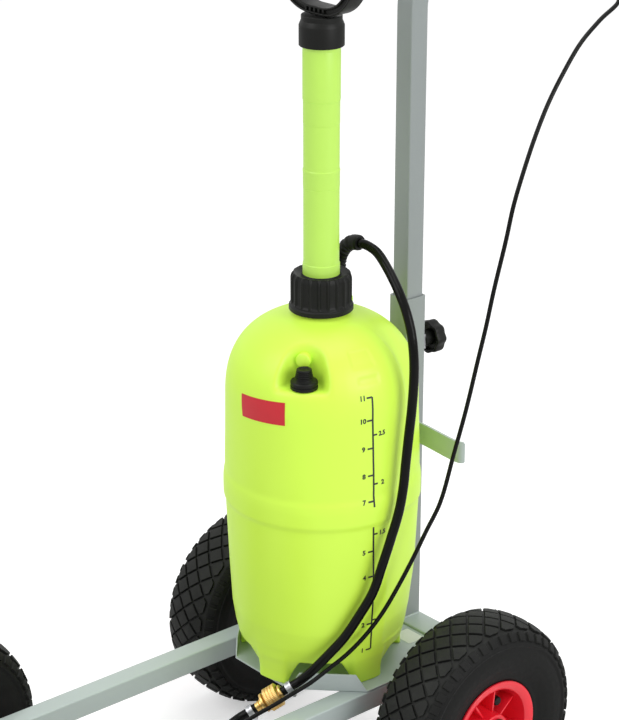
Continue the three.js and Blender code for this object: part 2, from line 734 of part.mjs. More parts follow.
// Between two feet: an arch that runs from the outside in under the tank.
function archTool(index) {
  const middle = turn(footTurn + (360 / footCount) * (index + 0.5));
  const shape = new THREE.Shape();
  shape.moveTo(-archBottomWidth / 2 - 2, -2);
  shape.lineTo(archBottomWidth / 2 + 2, -2);
  shape.lineTo(archTopWidth / 2 + 3, archHeight - 5);
  shape.lineTo(archTopWidth / 2 - 4, archHeight);
  shape.lineTo(-archTopWidth / 2 + 4, archHeight);
  shape.lineTo(-archTopWidth / 2 - 3, archHeight - 5);
  return prism(shape, 20, tankRadius + 10)
    .applyMatrix4(new THREE.Matrix4().makeBasis(point(0, 1, 0), up, point(1, 0, 0)))
    .rotateZ(middle)
    .translate(0, 0, tankFoot);
}

const valveAxis = point(valveRadial * Math.cos(turn(valveTurn)), valveRadial * Math.sin(turn(valveTurn)), 0);
const valveFloor = rise(valveFloorHeight);

// The relief valve stands in a pocket scooped out of the shoulder, open to the outside.
function pocketTool(grow) {
  const radius = valvePocketRadius + grow;
  const pocket = new THREE.Shape();
  pocket.absarc(0, 0, radius, Math.PI / 2, 1.5 * Math.PI, false);
  pocket.lineTo(60, -radius - 8);
  pocket.lineTo(60, radius + 8);
  const centre = valveRadial + valvePocketSetback;
  return prism(pocket, valveFloor - grow, domeTop + 40, 8)
    .translate(centre, 0, 0)
    .rotateZ(turn(valveTurn));
}

const outletLocal = point(outletX, outletY - tankY, 0);

function tankGeometry() {
  const pad = disc(outletPadRadius, rise(outletPadHeight) - 40, rise(outletPadHeight), 24)
    .translate(outletLocal.x, outletLocal.y, 0);
  const hollow = cut(tankInner(), pocketTool(tankWall));
  const arches = Array.from({ length: footCount }, (_, i) => archTool(i));
  const centre = disc(42, tankFoot - 1, rise(archHeight), 20);
  const outer = cut(joined(tankOuter(), pad), pocketTool(0), centre, ...arches);
  const valveHole = disc(around(valveStemRadius, 20), valveFloor - 20, valveFloor + 5, 20)
    .translate(valveAxis.x, valveAxis.y, 0);
  const outletHole = disc(around(outletStemRadius, pinFacets), rise(outletPadHeight) - 60, rise(outletPadHeight) + 1, pinFacets)
    .translate(outletLocal.x, outletLocal.y, 0);
  return cut(outer, hollow, valveHole, outletHole);
}

const tank = new THREE.Group();
tank.position.set(0, tankY, 0);
cart.add(tank);
add('tank_shell', tankGeometry(), tankPlastic, tank);

// ---------------------------------------------------------------- pump

// The cylinder hangs in the neck by its flange; its floor has the inlet valve's hole.
function pumpCylinderGeometry() {
  const mouth = 4;
  const span = pumpTop - pumpFlangeTop;
  const band = (share) => pumpFlangeTop + span * share;
  const profile = [
    [mouth, pumpBottom], [pumpRadius, pumpBottom], [pumpRadius, pumpFlangeBottom],
    [neckRadius - 0.5, pumpFlangeBottom], [neckRadius - 0.5, pumpFlangeTop], [pumpRadius, pumpFlangeTop],
    [pumpRadius, band(0.07)], [pumpRadius - 0.6, band(0.075)], [pumpRadius - 0.6, band(0.375)],
    [pumpRadius - 0.2, band(0.38)], [pumpRadius - 0.2, band(0.455)], [pumpRadius - 0.8, band(0.46)],
    [pumpRadius - 0.6, band(0.635)], [pumpRadius - 0.6, band(0.715)], [pumpRadius, band(0.72)],
    [pumpRadius, pumpTop], [pumpBore, pumpTop], [pumpBore, pumpFloor], [mouth, pumpFloor],
  ];
  return ring(profile, 24);
}
add('pump_cylinder', pumpCylinderGeometry(), pumpPlastic, tank);

function fluted(radius, count, depth) {
  const shape = new THREE.Shape();
  const steps = count * 4;
  for (let i = 0; i < steps; i++) {
    const angle = (2 * Math.PI * i) / steps;
    const r = i % 4 === 0 ? radius - depth : radius;
    const at = [r * Math.cos(angle), r * Math.sin(angle)];
    if (i === 0) shape.moveTo(...at);
    else shape.lineTo(...at);
  }
  return shape;
}

function capGeometry() {
  const outside = capInside + capWall + capFluteDepth;
  const under = pumpFlangeTop + gap;
  const top = under + capTopThickness;
  const body = prism(fluted(outside, capFlutes, capFluteDepth), capBottom, top);
  const bore = disc(capInside, capBottom - 1, under, 40);
  const hole = disc(around(pumpRadius, 24), capBottom, top + 1, 24);
  return cut(body, bore, hole);
}
add('cap_nut', capGeometry(), blackPlastic, tank);

function collarGeometry() {
  const inner = around(pumpRadius, 24);
  const outer = inner + collarWall;
  const rodHole = around(rodRadius, 24);
  const profile = [
    [rodHole, pumpTop + gap], [inner, pumpTop + gap], [inner, collarBottom], [outer - 1, collarBottom],
    [outer, collarBottom + 2], [outer, collarTop - 9], [outer - 1, collarTop - 8],
    [outer - 3.5, collarTop - 7.5], [outer - 3.5, collarTop], [rodHole, collarTop],
  ];
  return ring(profile, 24);
}
add('pump_collar', collarGeometry(), blackPlastic, tank);

const rodSocket = 8;
const pumpHandleBottom = collarTop + gap;
const rodTop = pumpHandleBottom + rodSocket;

add('pump_piston', disc(pumpBore - gap / Math.cos(Math.PI / 24) - 0.2, pistonBottom, pistonBottom + pistonLength), blackRubber, tank);
add('pump_rod', disc(rodRadius, pistonBottom + pistonLength + gap, rodTop, 16), steel, tank);

// A closed D-grip, seen face on: a wide bowl below and a straight bar on top.
function pumpHandleGeometry() {
  const half = pumpHandleWidth / 2;
  const outline = (inset) => {
    const shape = new THREE.Shape();
    const w = half - inset;
    const low = inset;
    const high = pumpHandleHeight - inset;
    const round = 20 - inset / 2;
    shape.moveTo(-12, low);
    shape.lineTo(12, low);
    shape.quadraticCurveTo(w * 0.75, low + 2, w - 2, pumpHandleHeight * 0.42);
    shape.quadraticCurveTo(w, pumpHandleHeight * 0.5, w, high - round);
    shape.quadraticCurveTo(w, high, w - round, high);
    shape.lineTo(-w + round, high);
    shape.quadraticCurveTo(-w, high, -w, high - round);
    shape.quadraticCurveTo(-w, pumpHandleHeight * 0.5, -w + 2, pumpHandleHeight * 0.42);
    shape.quadraticCurveTo(-w * 0.75, low + 2, -12, low);
    return shape;
  };
  const shape = outline(0);
  shape.holes.push(outline(pumpHandleBar));
  const grip = new THREE.ExtrudeGeometry(shape, {
    depth: pumpHandleDepth - 4, bevelEnabled: true, bevelThickness: 2, bevelSize: 2, bevelOffset: -2,
    bevelSegments: 1, curveSegments: 4,
  }).translate(0, 0, -pumpHandleDepth / 2 + 2).rotateX(Math.PI / 2).translate(0, 0, pumpHandleBottom);
  const socket = disc(around(rodRadius, pinFacets), pumpHandleBottom - 1, rodTop + gap, pinFacets);
  return cut(grip, socket);
}
add('pump_handle', pumpHandleGeometry(), blackPlastic, tank);

// ---------------------------------------------------------------- relief valve

function reliefBodyGeometry() {
  const seat = valveFloor + gap;
  return turned([
    [0, seat - 16], [valveStemRadius, seat - 16], [valveStemRadius, seat], [valveFlangeRadius, seat],
    [valveFlangeRadius, seat + 7], [valveFlangeRadius - 3, seat + 10], [valveKnobRadius - 2, seat + 10],
    [valveKnobRadius - 2, seat + 12], [0, seat + 12],
  ], 20);
}
add('relief_valve_body', reliefBodyGeometry(), blackPlastic, tank).position.copy(valveAxis);

function reliefKnobGeometry() {
  const bottom = valveFloor + gap + 12 + gap;
  const top = bottom + valveKnobHeight;
  return turned([
    [0, bottom], [valveKnobRadius, bottom], [valveKnobRadius - 0.8, top - 1.5], [valveKnobRadius - 2.3, top], [0, top],
  ], 20);
}
add('relief_valve_knob', reliefKnobGeometry(), blackPlastic, tank).position.copy(valveAxis);

// ---------------------------------------------------------------- outlet, dip tube, bend protector

const padTop = rise(outletPadHeight);
const fittingTop = padTop + gap + outletFittingHeight;
const fittingBottom = padTop - outletStemLength;

add('outlet_fitting', turned([
  [0, fittingBottom], [outletStemRadius, fittingBottom], [outletStemRadius, padTop + gap], [13, padTop + gap],
  [13, padTop + gap + 6], [10, padTop + gap + 7], [10, fittingTop], [0, fittingTop],
], 16), blackPlastic).position.set(outletX, outletY, 0);

add('dip_tube', ring([
  [dipTubeRadius - dipTubeWall, rise(dipTubeClearance)], [dipTubeRadius, rise(dipTubeClearance)],
  [dipTubeRadius, fittingBottom - gap], [dipTubeRadius - dipTubeWall, fittingBottom - gap],
], 12), nylon).position.set(outletX, outletY, 0);

// The protector rises from the fitting and leads the hose over to the right.
const protectorRoute = route([
  point(outletX, outletY, fittingTop + gap), point(outletX, outletY, 634), point(-19.5, 55, 647),
  point(-14, 56, 658), point(-5, 57, 666.2), point(4, 57.7, 669.2), point(10, 58.05, 669.6),
]);
add('bend_protector', swept(roundShape(protectorRadius), protectorRoute, 16, 5), blackRubber);

// ---------------------------------------------------------------- tank hose, coupling, valve hose

const couplingStart = point(59, -99.6, 173.4);
const couplingAlong = point(-27, -39.1, -30.1).normalize();
const onCoupling = (distance) => couplingStart.clone().addScaledVector(couplingAlong, distance);

const tankHoseRoute = route([
  point(10.3, 58.07, 669.62), point(16, 58.4, 669.9), point(24, 59.2, 669), point(36, 59.7, 665.4), point(57, 55, 655.6), point(85, 47.8, 636.6),
  point(103, 44.4, 615.4), point(114, 42.3, 593.2), point(119.5, 41.4, 565.4), point(121.5, 39.8, 537.7),
  point(122.5, 36.4, 506.4), point(123.5, 31.6, 476.7), point(124.5, 26.6, 443), point(125, 23.8, 420.7),
  point(125.5, 16.9, 390.6), point(125.3, 5.6, 360.5), point(123, -5.6, 328), point(119, -15.3, 296.7),
  point(112, -30, 268.5), point(103, -44.6, 241.7), point(93, -59.1, 221.3), point(82, -73, 201.7),
  onCoupling(-24), onCoupling(-12), onCoupling(-gap),
]);
const valveInlet = point(nozzleX, crossTubeBack + gap + bracketThickness + gap + 2 * valveBodyRadius + inletLength, 0);
const inletHeight = valveBodyTop - 20;
const valveHoseRoute = route([
  onCoupling(couplingLength + gap + plugLength + gap), onCoupling(couplingLength + plugLength + 13),
  onCoupling(couplingLength + plugLength + 24), point(28, -165, 132), point(24.5, -188, 121), point(22, -214, 113.5),
  point(20.5, -240, 110.5), point(nozzleX, -262, 110), point(nozzleX, valveInlet.y + gap, inletHeight),
]);
add('tank_hose', swept(roundShape(hoseDiameter / 2), tankHoseRoute, 56), blackRubber);
add('valve_hose', swept(roundShape(hoseDiameter / 2), valveHoseRoute, 20), blackRubber);

const coupling = new THREE.Group();
coupling.position.copy(couplingStart);
coupling.quaternion.setFromUnitVectors(up, couplingAlong);
cart.add(coupling);

add('coupling_socket', ring([
  [5.3, 0], [couplingBodyRadius, 0], [couplingBodyRadius, couplingLength - 3],
  [couplingBodyRadius + 1.8, couplingLength - 3], [couplingBodyRadius + 1.8, couplingLength], [5.3, couplingLength],
], 16), brass, coupling);

// The sleeve that is pulled back to let the plug go, with two knurled bands.
const sleeveInner = couplingBodyRadius + gap;
const sleeveEnd = couplingLength - 3 - gap;
add('coupling_sleeve', ring([
  [sleeveInner, 4], [couplingRadius - 1.5, 4], [couplingRadius, 5.5], [couplingRadius, 11],
  [couplingRadius - 1, 12], [couplingRadius - 1, 14], [couplingRadius, 15], [couplingRadius, sleeveEnd - 2],
  [couplingRadius - 2, sleeveEnd], [sleeveInner, sleeveEnd],
], 20), brass, coupling);

const plugEnd = couplingLength + gap + plugLength;
add('coupling_plug', turned([
  [0, 12], [5.3 - gap, 12], [5.3 - gap, couplingLength + gap], [6.4, couplingLength + gap],
  [6.4, couplingLength + gap + 3], [5.4, couplingLength + gap + 4], [5.4, plugEnd], [0, plugEnd],
], 16), brass, coupling);

function hoseClampGeometry() {
  const inner = hoseDiameter / 2 + 2 * gap;
  const outer = inner + 1.2;
  const half = clampBand / 2;
  const band = ring([[inner, -half], [outer, -half], [outer, half], [inner, half]], 16);
  const housing = block(5, 8, clampBand - 1, point(outer + 1.5, 0, 0));
  return cut(joined(band, housing), disc(inner, -clampBand, clampBand, 16));
}
const upperClamp = add('hose_clamp_upper', hoseClampGeometry(), steel, coupling);
upperClamp.position.z = -gap - clampSetback - clampBand / 2;
upperClamp.rotation.z = turn(-130);
const lowerClamp = add('hose_clamp_lower', hoseClampGeometry(), steel, coupling);
lowerClamp.position.z = plugEnd + gap + clampSetback - 2 + clampBand / 2;
lowerClamp.rotation.z = turn(-130);

// ---------------------------------------------------------------- spray valve at the front

const bracketFront = crossTubeBack + gap;
const valveAt = point(nozzleX, bracketFront + bracketThickness + gap + valveBodyRadius, 0);
const nozzleTop = valveBodyTop - valveBodyHeight;
const wireStopAt = point(nozzleX + 30, valveAt.y + 32, valveBodyTop + 6);

// A flat plate hangs from the cross tube, with an arm that holds the cable's lower end.
function valveBracketGeometry() {
  const bottom = tubeTop - tubeSize - bracketDrop;
  const height = tubeTop - bottom;
  const plate = block(bracketWidth, bracketThickness, height, point(4, bracketThickness / 2, bottom + height / 2));
  const armLength = wireStopAt.y - bracketFront;
  const arm = block(4, armLength, 14, point(wireStopAt.x - nozzleX + 4, armLength / 2, wireStopAt.z));
  const stop = disc(stopRadius, armLength - 8, armLength, 12).rotateX(-Math.PI / 2)
    .translate(wireStopAt.x - nozzleX, 0, wireStopAt.z);
  const link = block(36, bracketThickness, 14, point(18, bracketThickness / 2, wireStopAt.z));
  return joined(plate, link, arm, stop).translate(nozzleX, bracketFront, 0);
}
add('valve_bracket', valveBracketGeometry(), paint);

function valveBodyGeometry() {
  const barrel = disc(valveBodyRadius, nozzleTop, valveBodyTop, 20);
  const inlet = disc(7, valveBodyRadius - 3, valveBodyRadius + inletLength, 16).rotateX(-Math.PI / 2)
    .translate(0, 0, inletHeight);
  const spindle = disc(4, valveBodyTop - 1, valveBodyTop + 12, pinFacets);
  return joined(barrel, inlet, spindle).translate(valveAt.x, valveAt.y, 0);
}
add('spray_valve_body', valveBodyGeometry(), brass);

// The valve's lever turns on the spindle, drawn back by the cable.
function valveLeverGeometry() {
  const low = valveBodyTop + gap;
  const hub = disc(8, low, low + 6, 16);
  const arm = block(30, 8, 6, point(15, 0, low + 3));
  const eye = disc(around(4, pinFacets), low - 1, low + 7, pinFacets);
  return cut(joined(hub, arm), eye).translate(valveAt.x, valveAt.y, 0);
}
add('spray_valve_lever', valveLeverGeometry(), steel);

add('spray_nozzle', turned([
  [0, nozzleTop - gap - nozzleLength], [nozzleRadius - 3, nozzleTop - gap - nozzleLength],
  [nozzleRadius, nozzleTop - gap - nozzleLength + 4], [nozzleRadius, nozzleTop - gap], [0, nozzleTop - gap],
], 16), blackPlastic).position.copy(valveAt);

// ---------------------------------------------------------------- cable from the lever to the valve

const cableStart = point(cableStop.x, cableStop.y - 4 - gap, cableStop.z);
const cableEnd = point(wireStopAt.x, wireStopAt.y + gap, wireStopAt.z);
const cableRoute = route([
  cableStart, point(cableStart.x, cableStart.y - 10, cableStart.z), point(79, 351, 955), point(98, 344, 948),
  point(119, 336, 939),
  point(140, 325.7, 929.9), point(148, 287, 914.4), point(152.5, 252.4, 894.7), point(156, 222.7, 866.4),
  point(159, 197.7, 837.2), point(160.5, 178.1, 804.7), point(161, 162, 770), point(161, 147.5, 732),
  point(159.5, 139, 693.5), point(157, 125.3, 638.2), point(155, 116.6, 596.1), point(153, 107.6, 558.4),
  point(149, 94.6, 499.1), point(145, 82, 450), point(140, 66.6, 390.7), point(136, 50.2, 359.9),
  point(131.5, 34.3, 328.4), point(126.5, 15.6, 295.4), point(120, -1.9, 265.4), point(111.5, -20, 239.6),
  point(103, -39.9, 219.2), point(93.5, -59.7, 203), point(85, -80, 188.5), point(78, -101.6, 179),
  point(71, -118.5, 170), point(62, -138.6, 160), point(56, -163, 151), point(52, -197, 143), point(50, -232, 138),
  point(cableEnd.x, cableEnd.y + 26, cableEnd.z), cableEnd,
]);
add('control_cable', swept(roundShape(cableDiameter / 2), cableRoute, 64), blackPlastic);

export default cart;
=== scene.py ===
"""Wheeled sprayer cart: the finished look of a hand-pumped sprayer on a low four-wheeled frame.

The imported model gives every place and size. This script dresses it: each operator makes one piece,
or a group of like pieces, and the panel lists them. All lengths are in metres.
"""

import json
import math

import bmesh
import bpy
from bpy.props import FloatProperty, FloatVectorProperty, IntProperty, PointerProperty
from mathutils import Matrix, Vector


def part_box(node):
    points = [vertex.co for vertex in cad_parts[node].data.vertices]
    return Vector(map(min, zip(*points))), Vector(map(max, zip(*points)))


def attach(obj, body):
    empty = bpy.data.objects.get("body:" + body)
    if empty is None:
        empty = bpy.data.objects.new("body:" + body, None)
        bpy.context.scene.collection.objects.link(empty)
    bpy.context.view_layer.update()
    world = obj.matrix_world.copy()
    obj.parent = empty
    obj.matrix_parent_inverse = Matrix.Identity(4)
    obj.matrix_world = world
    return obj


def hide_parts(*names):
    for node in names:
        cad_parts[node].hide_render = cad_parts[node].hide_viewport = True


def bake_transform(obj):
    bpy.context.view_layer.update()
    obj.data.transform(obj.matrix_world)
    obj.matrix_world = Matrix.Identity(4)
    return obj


bl_info = {
    "name": "Wheeled Sprayer Cart",
    "version": (1, 0, 0),
    "blender": (4, 5, 0),
    "location": "View3D > Sidebar > Sprayer Cart",
    "description": "Builds a wheeled sprayer cart around its packed frame",
    "category": "Object",
}

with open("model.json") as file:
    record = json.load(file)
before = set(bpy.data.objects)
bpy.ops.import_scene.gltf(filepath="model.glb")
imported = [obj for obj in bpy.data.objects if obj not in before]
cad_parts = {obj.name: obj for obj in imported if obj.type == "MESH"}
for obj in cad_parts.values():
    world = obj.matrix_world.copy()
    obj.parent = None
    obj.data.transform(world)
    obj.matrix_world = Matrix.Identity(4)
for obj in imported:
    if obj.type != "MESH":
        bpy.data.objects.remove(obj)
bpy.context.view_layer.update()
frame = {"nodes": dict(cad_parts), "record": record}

MM = 0.001
GAP = 0.3 * MM
UP = Vector((0, 0, 1))
ALONG_X = Matrix.Rotation(math.pi / 2, 4, "Y")  # lays a shape that stands on Z along X, or along Y
ALONG_Y = Matrix.Rotation(-math.pi / 2, 4, "X")


# ------------------------------------------------------------------ places taken from the frame


def low(node):
    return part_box(node)[0]


def high(node):
    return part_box(node)[1]


def middle(node):
    return (low(node) + high(node)) / 2


CART_SHIFT = middle("rear_axle").y - 76 * MM  # the routes below are written about the cart's own origin


def place(x, y, z):
    """A point of the cart's own drawing, in millimetres, as a point of the frame."""
    return Vector((x * MM, y * MM + CART_SHIFT, z * MM))


def places(*points):
    return [place(*point) for point in points]


WHEELS = {f"{end}_{side}": sign for end in ("rear", "front") for side, sign in (("left", -1), ("right", 1))}


# ------------------------------------------------------------------ sizes and colours a user would change


def length_property(name, description, default):
    return FloatProperty(name=name, description=description, default=default, unit="LENGTH")


def angle_property(name, description, default):
    return FloatProperty(name=name, description=description, default=default, subtype="ANGLE")


def colour_property(name, description, default):
    return FloatVectorProperty(
        name=name, description=description, subtype="COLOR", size=3, min=0, max=1, default=default
    )


class CartSizes(bpy.types.PropertyGroup):
    """Sizes of the details that the frame leaves open"""

    tube_corner: length_property("Tube corner", "Radius of a square tube's corners", 1.9 * MM)
    sheet_corner: length_property("Sheet corner", "Radius of the edges of sheet and bar", 0.6 * MM)
    tread_depth: length_property("Tread depth", "Height of a tread block above its groove", 3.0 * MM)
    tread_groove: length_property("Tread groove", "Width of the grooves between blocks", 2.5 * MM)
    tread_blocks: IntProperty(name="Tread blocks", description="Diamonds round a tyre", default=31, min=12)
    shoulder_lugs: IntProperty(name="Shoulder lugs", description="Lugs on one shoulder", default=48, min=12)
    rim_ribs: IntProperty(name="Rim ribs", description="Ribs on each side of a rim", default=8, min=3)
    cap_ribs: IntProperty(name="Cap ribs", description="Ribs round the cap nut", default=20, min=6)
    foot_corner: length_property("Foot corner", "How softly the tank's feet run into their arches", 3 * MM)


class CartColours(bpy.types.PropertyGroup):
    """Colours of the cart's materials"""

    tank: colour_property("Tank", "Tank plastic", (0.625, 0.94, 0.075))
    pump: colour_property("Pump", "Pump cylinder plastic", (0.48, 0.78, 0.11))
    paint: colour_property("Paint", "Frame paint", (0.43, 0.495, 0.48))
    # The post colour is the frame paint darkened: painted shade for the post, sleeve and handle bar, which
    # look darker in the light than the rest of the frame.
    post: colour_property("Post", "Post and sleeve paint", (0.265, 0.295, 0.29))
    rim: colour_property("Rim", "Rim plastic", (0.80, 0.014, 0.03))
    black: colour_property("Black", "Black plastic", (0.0065, 0.0068, 0.006))
    rubber: colour_property("Rubber", "Tyre rubber", (0.0052, 0.0054, 0.005))
    brass: colour_property("Brass", "Coupling", (0.83, 0.56, 0.20))


# ------------------------------------------------------------------ materials


class Value:
    """A socket in a sum: each operator adds the Math node that it needs."""

    def __init__(self, finish, socket):
        self.finish = finish
        self.socket = socket

    def joined(self, operation, other):
        node = self.finish.node("ShaderNodeMath", {"operation": operation}, {0: self, 1: other})
        return Value(self.finish, node.outputs[0])

    def __add__(self, other):
        return self.joined("ADD", other)

    def __mul__(self, other):
        return self.joined("MULTIPLY", other)

    def __abs__(self):
        return self.joined("ABSOLUTE", 0.0)


class Finish:
    """A material being written: its shader, and one method that adds any node."""

    def __init__(self, title, colour, roughness, **fixed):
        self.material = bpy.data.materials.new(title)
        self.material.use_nodes = True
        self.tree = self.material.node_tree
        self.shader = self.tree.nodes["Principled BSDF"]
        self.set("Base Color", (*colour, 1))
        self.set("Roughness", roughness)
        for name, value in fixed.items():
            self.set(name.replace("_", " ").title().replace("Ior", "IOR"), value)

    def fill(self, socket, value):
        """Links a socket to a value that varies, or writes a constant on it."""
        if isinstance(value, Value):
            value = value.socket
        if hasattr(value, "is_output"):
            self.tree.links.new(value, socket)
        else:
            socket.default_value = value

    def set(self, name, value):
        self.fill(self.shader.inputs[name], value)

    def node(self, kind, settings=None, sockets=None):
        node = self.tree.nodes.new(kind)
        for name, value in (settings or {}).items():
            setattr(node, name, value)
        for name, value in (sockets or {}).items():
            self.fill(node.inputs[name], value)
        return node

    def noise(self, scale, detail, stretch=(1, 1, 1)):
        coordinates = self.node("ShaderNodeTexCoord").outputs["Object"]
        mapping = self.node("ShaderNodeMapping", None, {"Vector": coordinates, "Scale": stretch})
        sockets = {"Vector": mapping.outputs[0], "Scale": scale, "Detail": detail}
        return Value(self, self.node("ShaderNodeTexNoise", None, sockets).outputs[0])

    def sideways(self):
        """How far the surface faces along the object's own X, from 0 to 1."""
        coordinates = self.node("ShaderNodeTexCoord").outputs["Normal"]
        return abs(Value(self, self.node("ShaderNodeSeparateXYZ", None, {0: coordinates}).outputs["X"]))

    def ramp(self, value, low_edge, high_edge):
        """0 below one edge, 1 above the other, smooth between."""
        settings = {"interpolation_type": "SMOOTHSTEP"}
        sockets = {"Value": value, "From Min": low_edge, "From Max": high_edge}
        return Value(self, self.node("ShaderNodeMapRange", settings, sockets).outputs[0])

    def blend(self, factor, first, second):
        sockets = {0: factor, 6: (*first, 1), 7: (*second, 1)}
        return self.node("ShaderNodeMix", {"data_type": "RGBA"}, sockets).outputs[2]

    def bump(self, height, depth):
        """Raises the surface by height (0 to 1) times depth in metres."""
        node = self.node("ShaderNodeBump", None, {"Height": height, "Strength": 1.0, "Distance": depth})
        self.tree.links.new(node.outputs[0], self.shader.inputs["Normal"])


def shade(colour, factor):
    return tuple(min(1.0, part * factor) for part in colour)


def tank_plastic(colours):
    """Blow-moulded polyethylene: a soft sheen, faint flow marks, and a painted glow, emission in its own
    colour that brightens it though it is no lamp.
    """
    base = tuple(colours.tank)
    # The emission is a painted glow: the tank gives off a little light of its own colour, though it is no
    # lamp.
    finish = Finish("tank plastic", base, 0.42, emission_strength=0.05)
    flow = finish.noise(7, 3, (1, 1, 0.35))
    finish.set("Base Color", finish.blend(finish.ramp(flow, 0.3, 0.7), shade(base, 0.965), shade(base, 1.02)))
    finish.set("Emission Color", (*base, 1))
    finish.set("Roughness", finish.noise(60, 2) * 0.1 + 0.36)
    finish.bump(finish.noise(420, 2), 0.05 * MM)
    return finish.material


def pump_plastic(colours):
    """The same plastic drawn out into a tube, with streaks along it, and the same painted glow in its own
    colour.
    """
    base = tuple(colours.pump)
    # The emission is a painted glow: the pump gives off a little light of its own colour, though it is no
    # lamp.
    finish = Finish("pump plastic", base, 0.36, emission_strength=0.06)
    streak = finish.noise(30, 2, (1, 1, 0.08))
    finish.set("Base Color", finish.blend(streak, shade(base, 0.95), shade(base, 1.03)))
    finish.set("Emission Color", (*base, 1))
    finish.set("Roughness", finish.noise(90, 2) * 0.08 + 0.3)
    finish.bump(streak, 0.04 * MM)
    return finish.material


def tyre_rubber(colours):
    """Dull black rubber, painted lighter on the tread than on the sides, partly as painted light for the
    light that falls on the tread and partly as patches of dust.
    """
    base = tuple(colours.rubber)
    finish = Finish("tyre rubber", base, 0.72, specular_ior_level=0.16)
    # Painted light and dust: the tread, lit more than the sides, is painted lighter, and the dust noise
    # breaks it into patches.
    tread = finish.ramp(finish.sideways(), 0.85, 0.45)
    dust = finish.ramp(finish.noise(55, 5), 0.4, 0.8) * 0.35 + 0.65
    finish.set("Base Color", finish.blend(tread * dust, base, shade(base, 4.2)))
    finish.set("Roughness", finish.noise(200, 3) * 0.2 + 0.48)
    finish.bump(finish.noise(1100, 3), 0.12 * MM)
    return finish.material


def cable_jacket(colours):
    finish = Finish("cable jacket", shade(tuple(colours.black), 0.5), 0.25, specular_ior_level=0.16)
    finish.set("Roughness", finish.noise(150, 2) * 0.14 + 0.14)
    finish.bump(finish.noise(900, 1), 0.03 * MM)
    return finish.material


# Each plain finish has a colour, or the name of one that a user can change, and a roughness. Then come the
# scale and detail of three noises: for the colour, with the darkest and lightest share of it; for the
# roughness, with its range and its least; for the height, with its depth in millimetres. The shader's other
# inputs are last.
COAT = {"coat_weight": 0.25, "coat_roughness": 0.12}
THIN_COAT = {"coat_weight": 0.2, "coat_roughness": 0.2}
METAL = {"metallic": 1.0}
PLAIN_FINISHES = {
    "frame_paint": ("paint", 0.38, (9, 3, 0.95, 1.05), (45, 3, 0.16, 0.28), (900, 1, 0.03), COAT),
    # The paint of the post, sleeve and handle bar is the frame paint made darker: painted shade.
    "post_paint": ("post", 0.38, (9, 3, 0.95, 1.05), (45, 3, 0.16, 0.28), (900, 1, 0.03), COAT),
    "black_plastic": (
        "black", 0.42, (25, 2, 0.85, 1.3), (70, 3, 0.18, 0.33), (1400, 2, 0.05), {"specular_ior_level": 0.2}
    ),
    "hose_rubber": (
        "black", 0.18, (40, 2, 0.4, 0.8), (120, 2, 0.2, 0.08), (260, 2, 0.16), {"specular_ior_level": 0.12}
    ),
    "rim_plastic": ("rim", 0.3, (22, 3, 0.9, 1.08), (60, 2, 0.16, 0.22), (600, 2, 0.05), THIN_COAT),
    "turned_brass": ("brass", 0.28, (140, 3, 0.78, 1), (300, 3, 0.22, 0.2), (1500, 2, 0.06), METAL),
    "zinc_steel": ((0.62, 0.63, 0.65), 0.32, (90, 4, 0.78, 1), (180, 3, 0.25, 0.22), (1200, 2, 0.05), METAL),
    "natural_nylon": ((0.72, 0.69, 0.60), 0.45, (60, 2, 0.93, 1), (140, 2, 0.12, 0.4), None, {}),
    "black_print": ((0.02, 0.022, 0.02), 0.5, None, (400, 2, 0.2, 0.4), None, {}),
    "red_label": ((0.60, 0.012, 0.024), 0.4, (120, 2, 0.92, 1), (200, 2, 0.12, 0.34), None, {}),
    "white_label": ((0.80, 0.81, 0.80), 0.5, (160, 2, 0.96, 1), None, None, {}),
}


def plain_finish(name, colours):
    colour, roughness, tint, shine, height, fixed = PLAIN_FINISHES[name]
    base = tuple(getattr(colours, colour)) if isinstance(colour, str) else colour
    finish = Finish(name.replace("_", " "), base, roughness, **fixed)
    if tint:
        dark, light = (shade(base, part) for part in tint[2:])
        finish.set("Base Color", finish.blend(finish.noise(*tint[:2]), dark, light))
    if shine:
        finish.set("Roughness", finish.noise(*shine[:2]) * shine[2] + shine[3])
    if height:
        finish.bump(finish.noise(*height[:2]), height[2] * MM)
    return finish.material


SPECIAL_FINISHES = {
    maker.__name__: maker for maker in (tank_plastic, pump_plastic, tyre_rubber, cable_jacket)
}
made = {}  # the materials written so far


def linked(name, data):
    """A new object in the scene."""
    thing = bpy.data.objects.new(name, data)
    bpy.context.scene.collection.objects.link(thing)
    return thing


def material_of(name):
    if name not in made:
        colours = bpy.context.scene.cart_colours
        special = SPECIAL_FINISHES.get(name)
        made[name] = special(colours) if special else plain_finish(name, colours)
    return made[name]


# ------------------------------------------------------------------ helpers for shapes


def clamp(value, least=0.0, most=1.0):
    return max(least, min(most, value))


def smooth_step(start, end, value):
    share = clamp((value - start) / (end - start))
    return share * share * (3 - 2 * share)


def soft_max(first, second, blend):
    near = max(blend - abs(first - second), 0) / blend
    return max(first, second) + near * near * blend / 4


def stepped(points, value):
    """The second number of each pair, read off between the first ones."""
    if value <= points[0][0]:
        return points[0][1]
    for (start, first), (end, second) in zip(points, points[1:]):
        if value <= end:
            return first + (second - first) * (value - start) / (end - start)
    return points[-1][1]


def evenly(points, step):
    """The same outline with a point every step or so."""
    outline = [Vector(points[0])]
    for start, end in zip(points, points[1:]):
        start, end = Vector(start), Vector(end)
        count = max(1, round((end - start).length / step))
        outline += [start.lerp(end, i / count) for i in range(1, count + 1)]
    return outline


def distances(line):
    """How far along a line each of its points is."""
    run = [0.0]
    for first, second in zip(line, line[1:]):
        run.append(run[-1] + (second - first).length)
    return run


def length_of(line):
    return distances(line)[-1]


def eased(outline, times):
    """Rounds an outline's corners, apart from its first and last points."""
    for _ in range(times):
        threes = zip(outline, outline[1:], outline[2:])
        inner = [(before + point * 2 + after) / 4 for before, point, after in threes]
        outline = [outline[0], *inner, outline[-1]]
    return outline


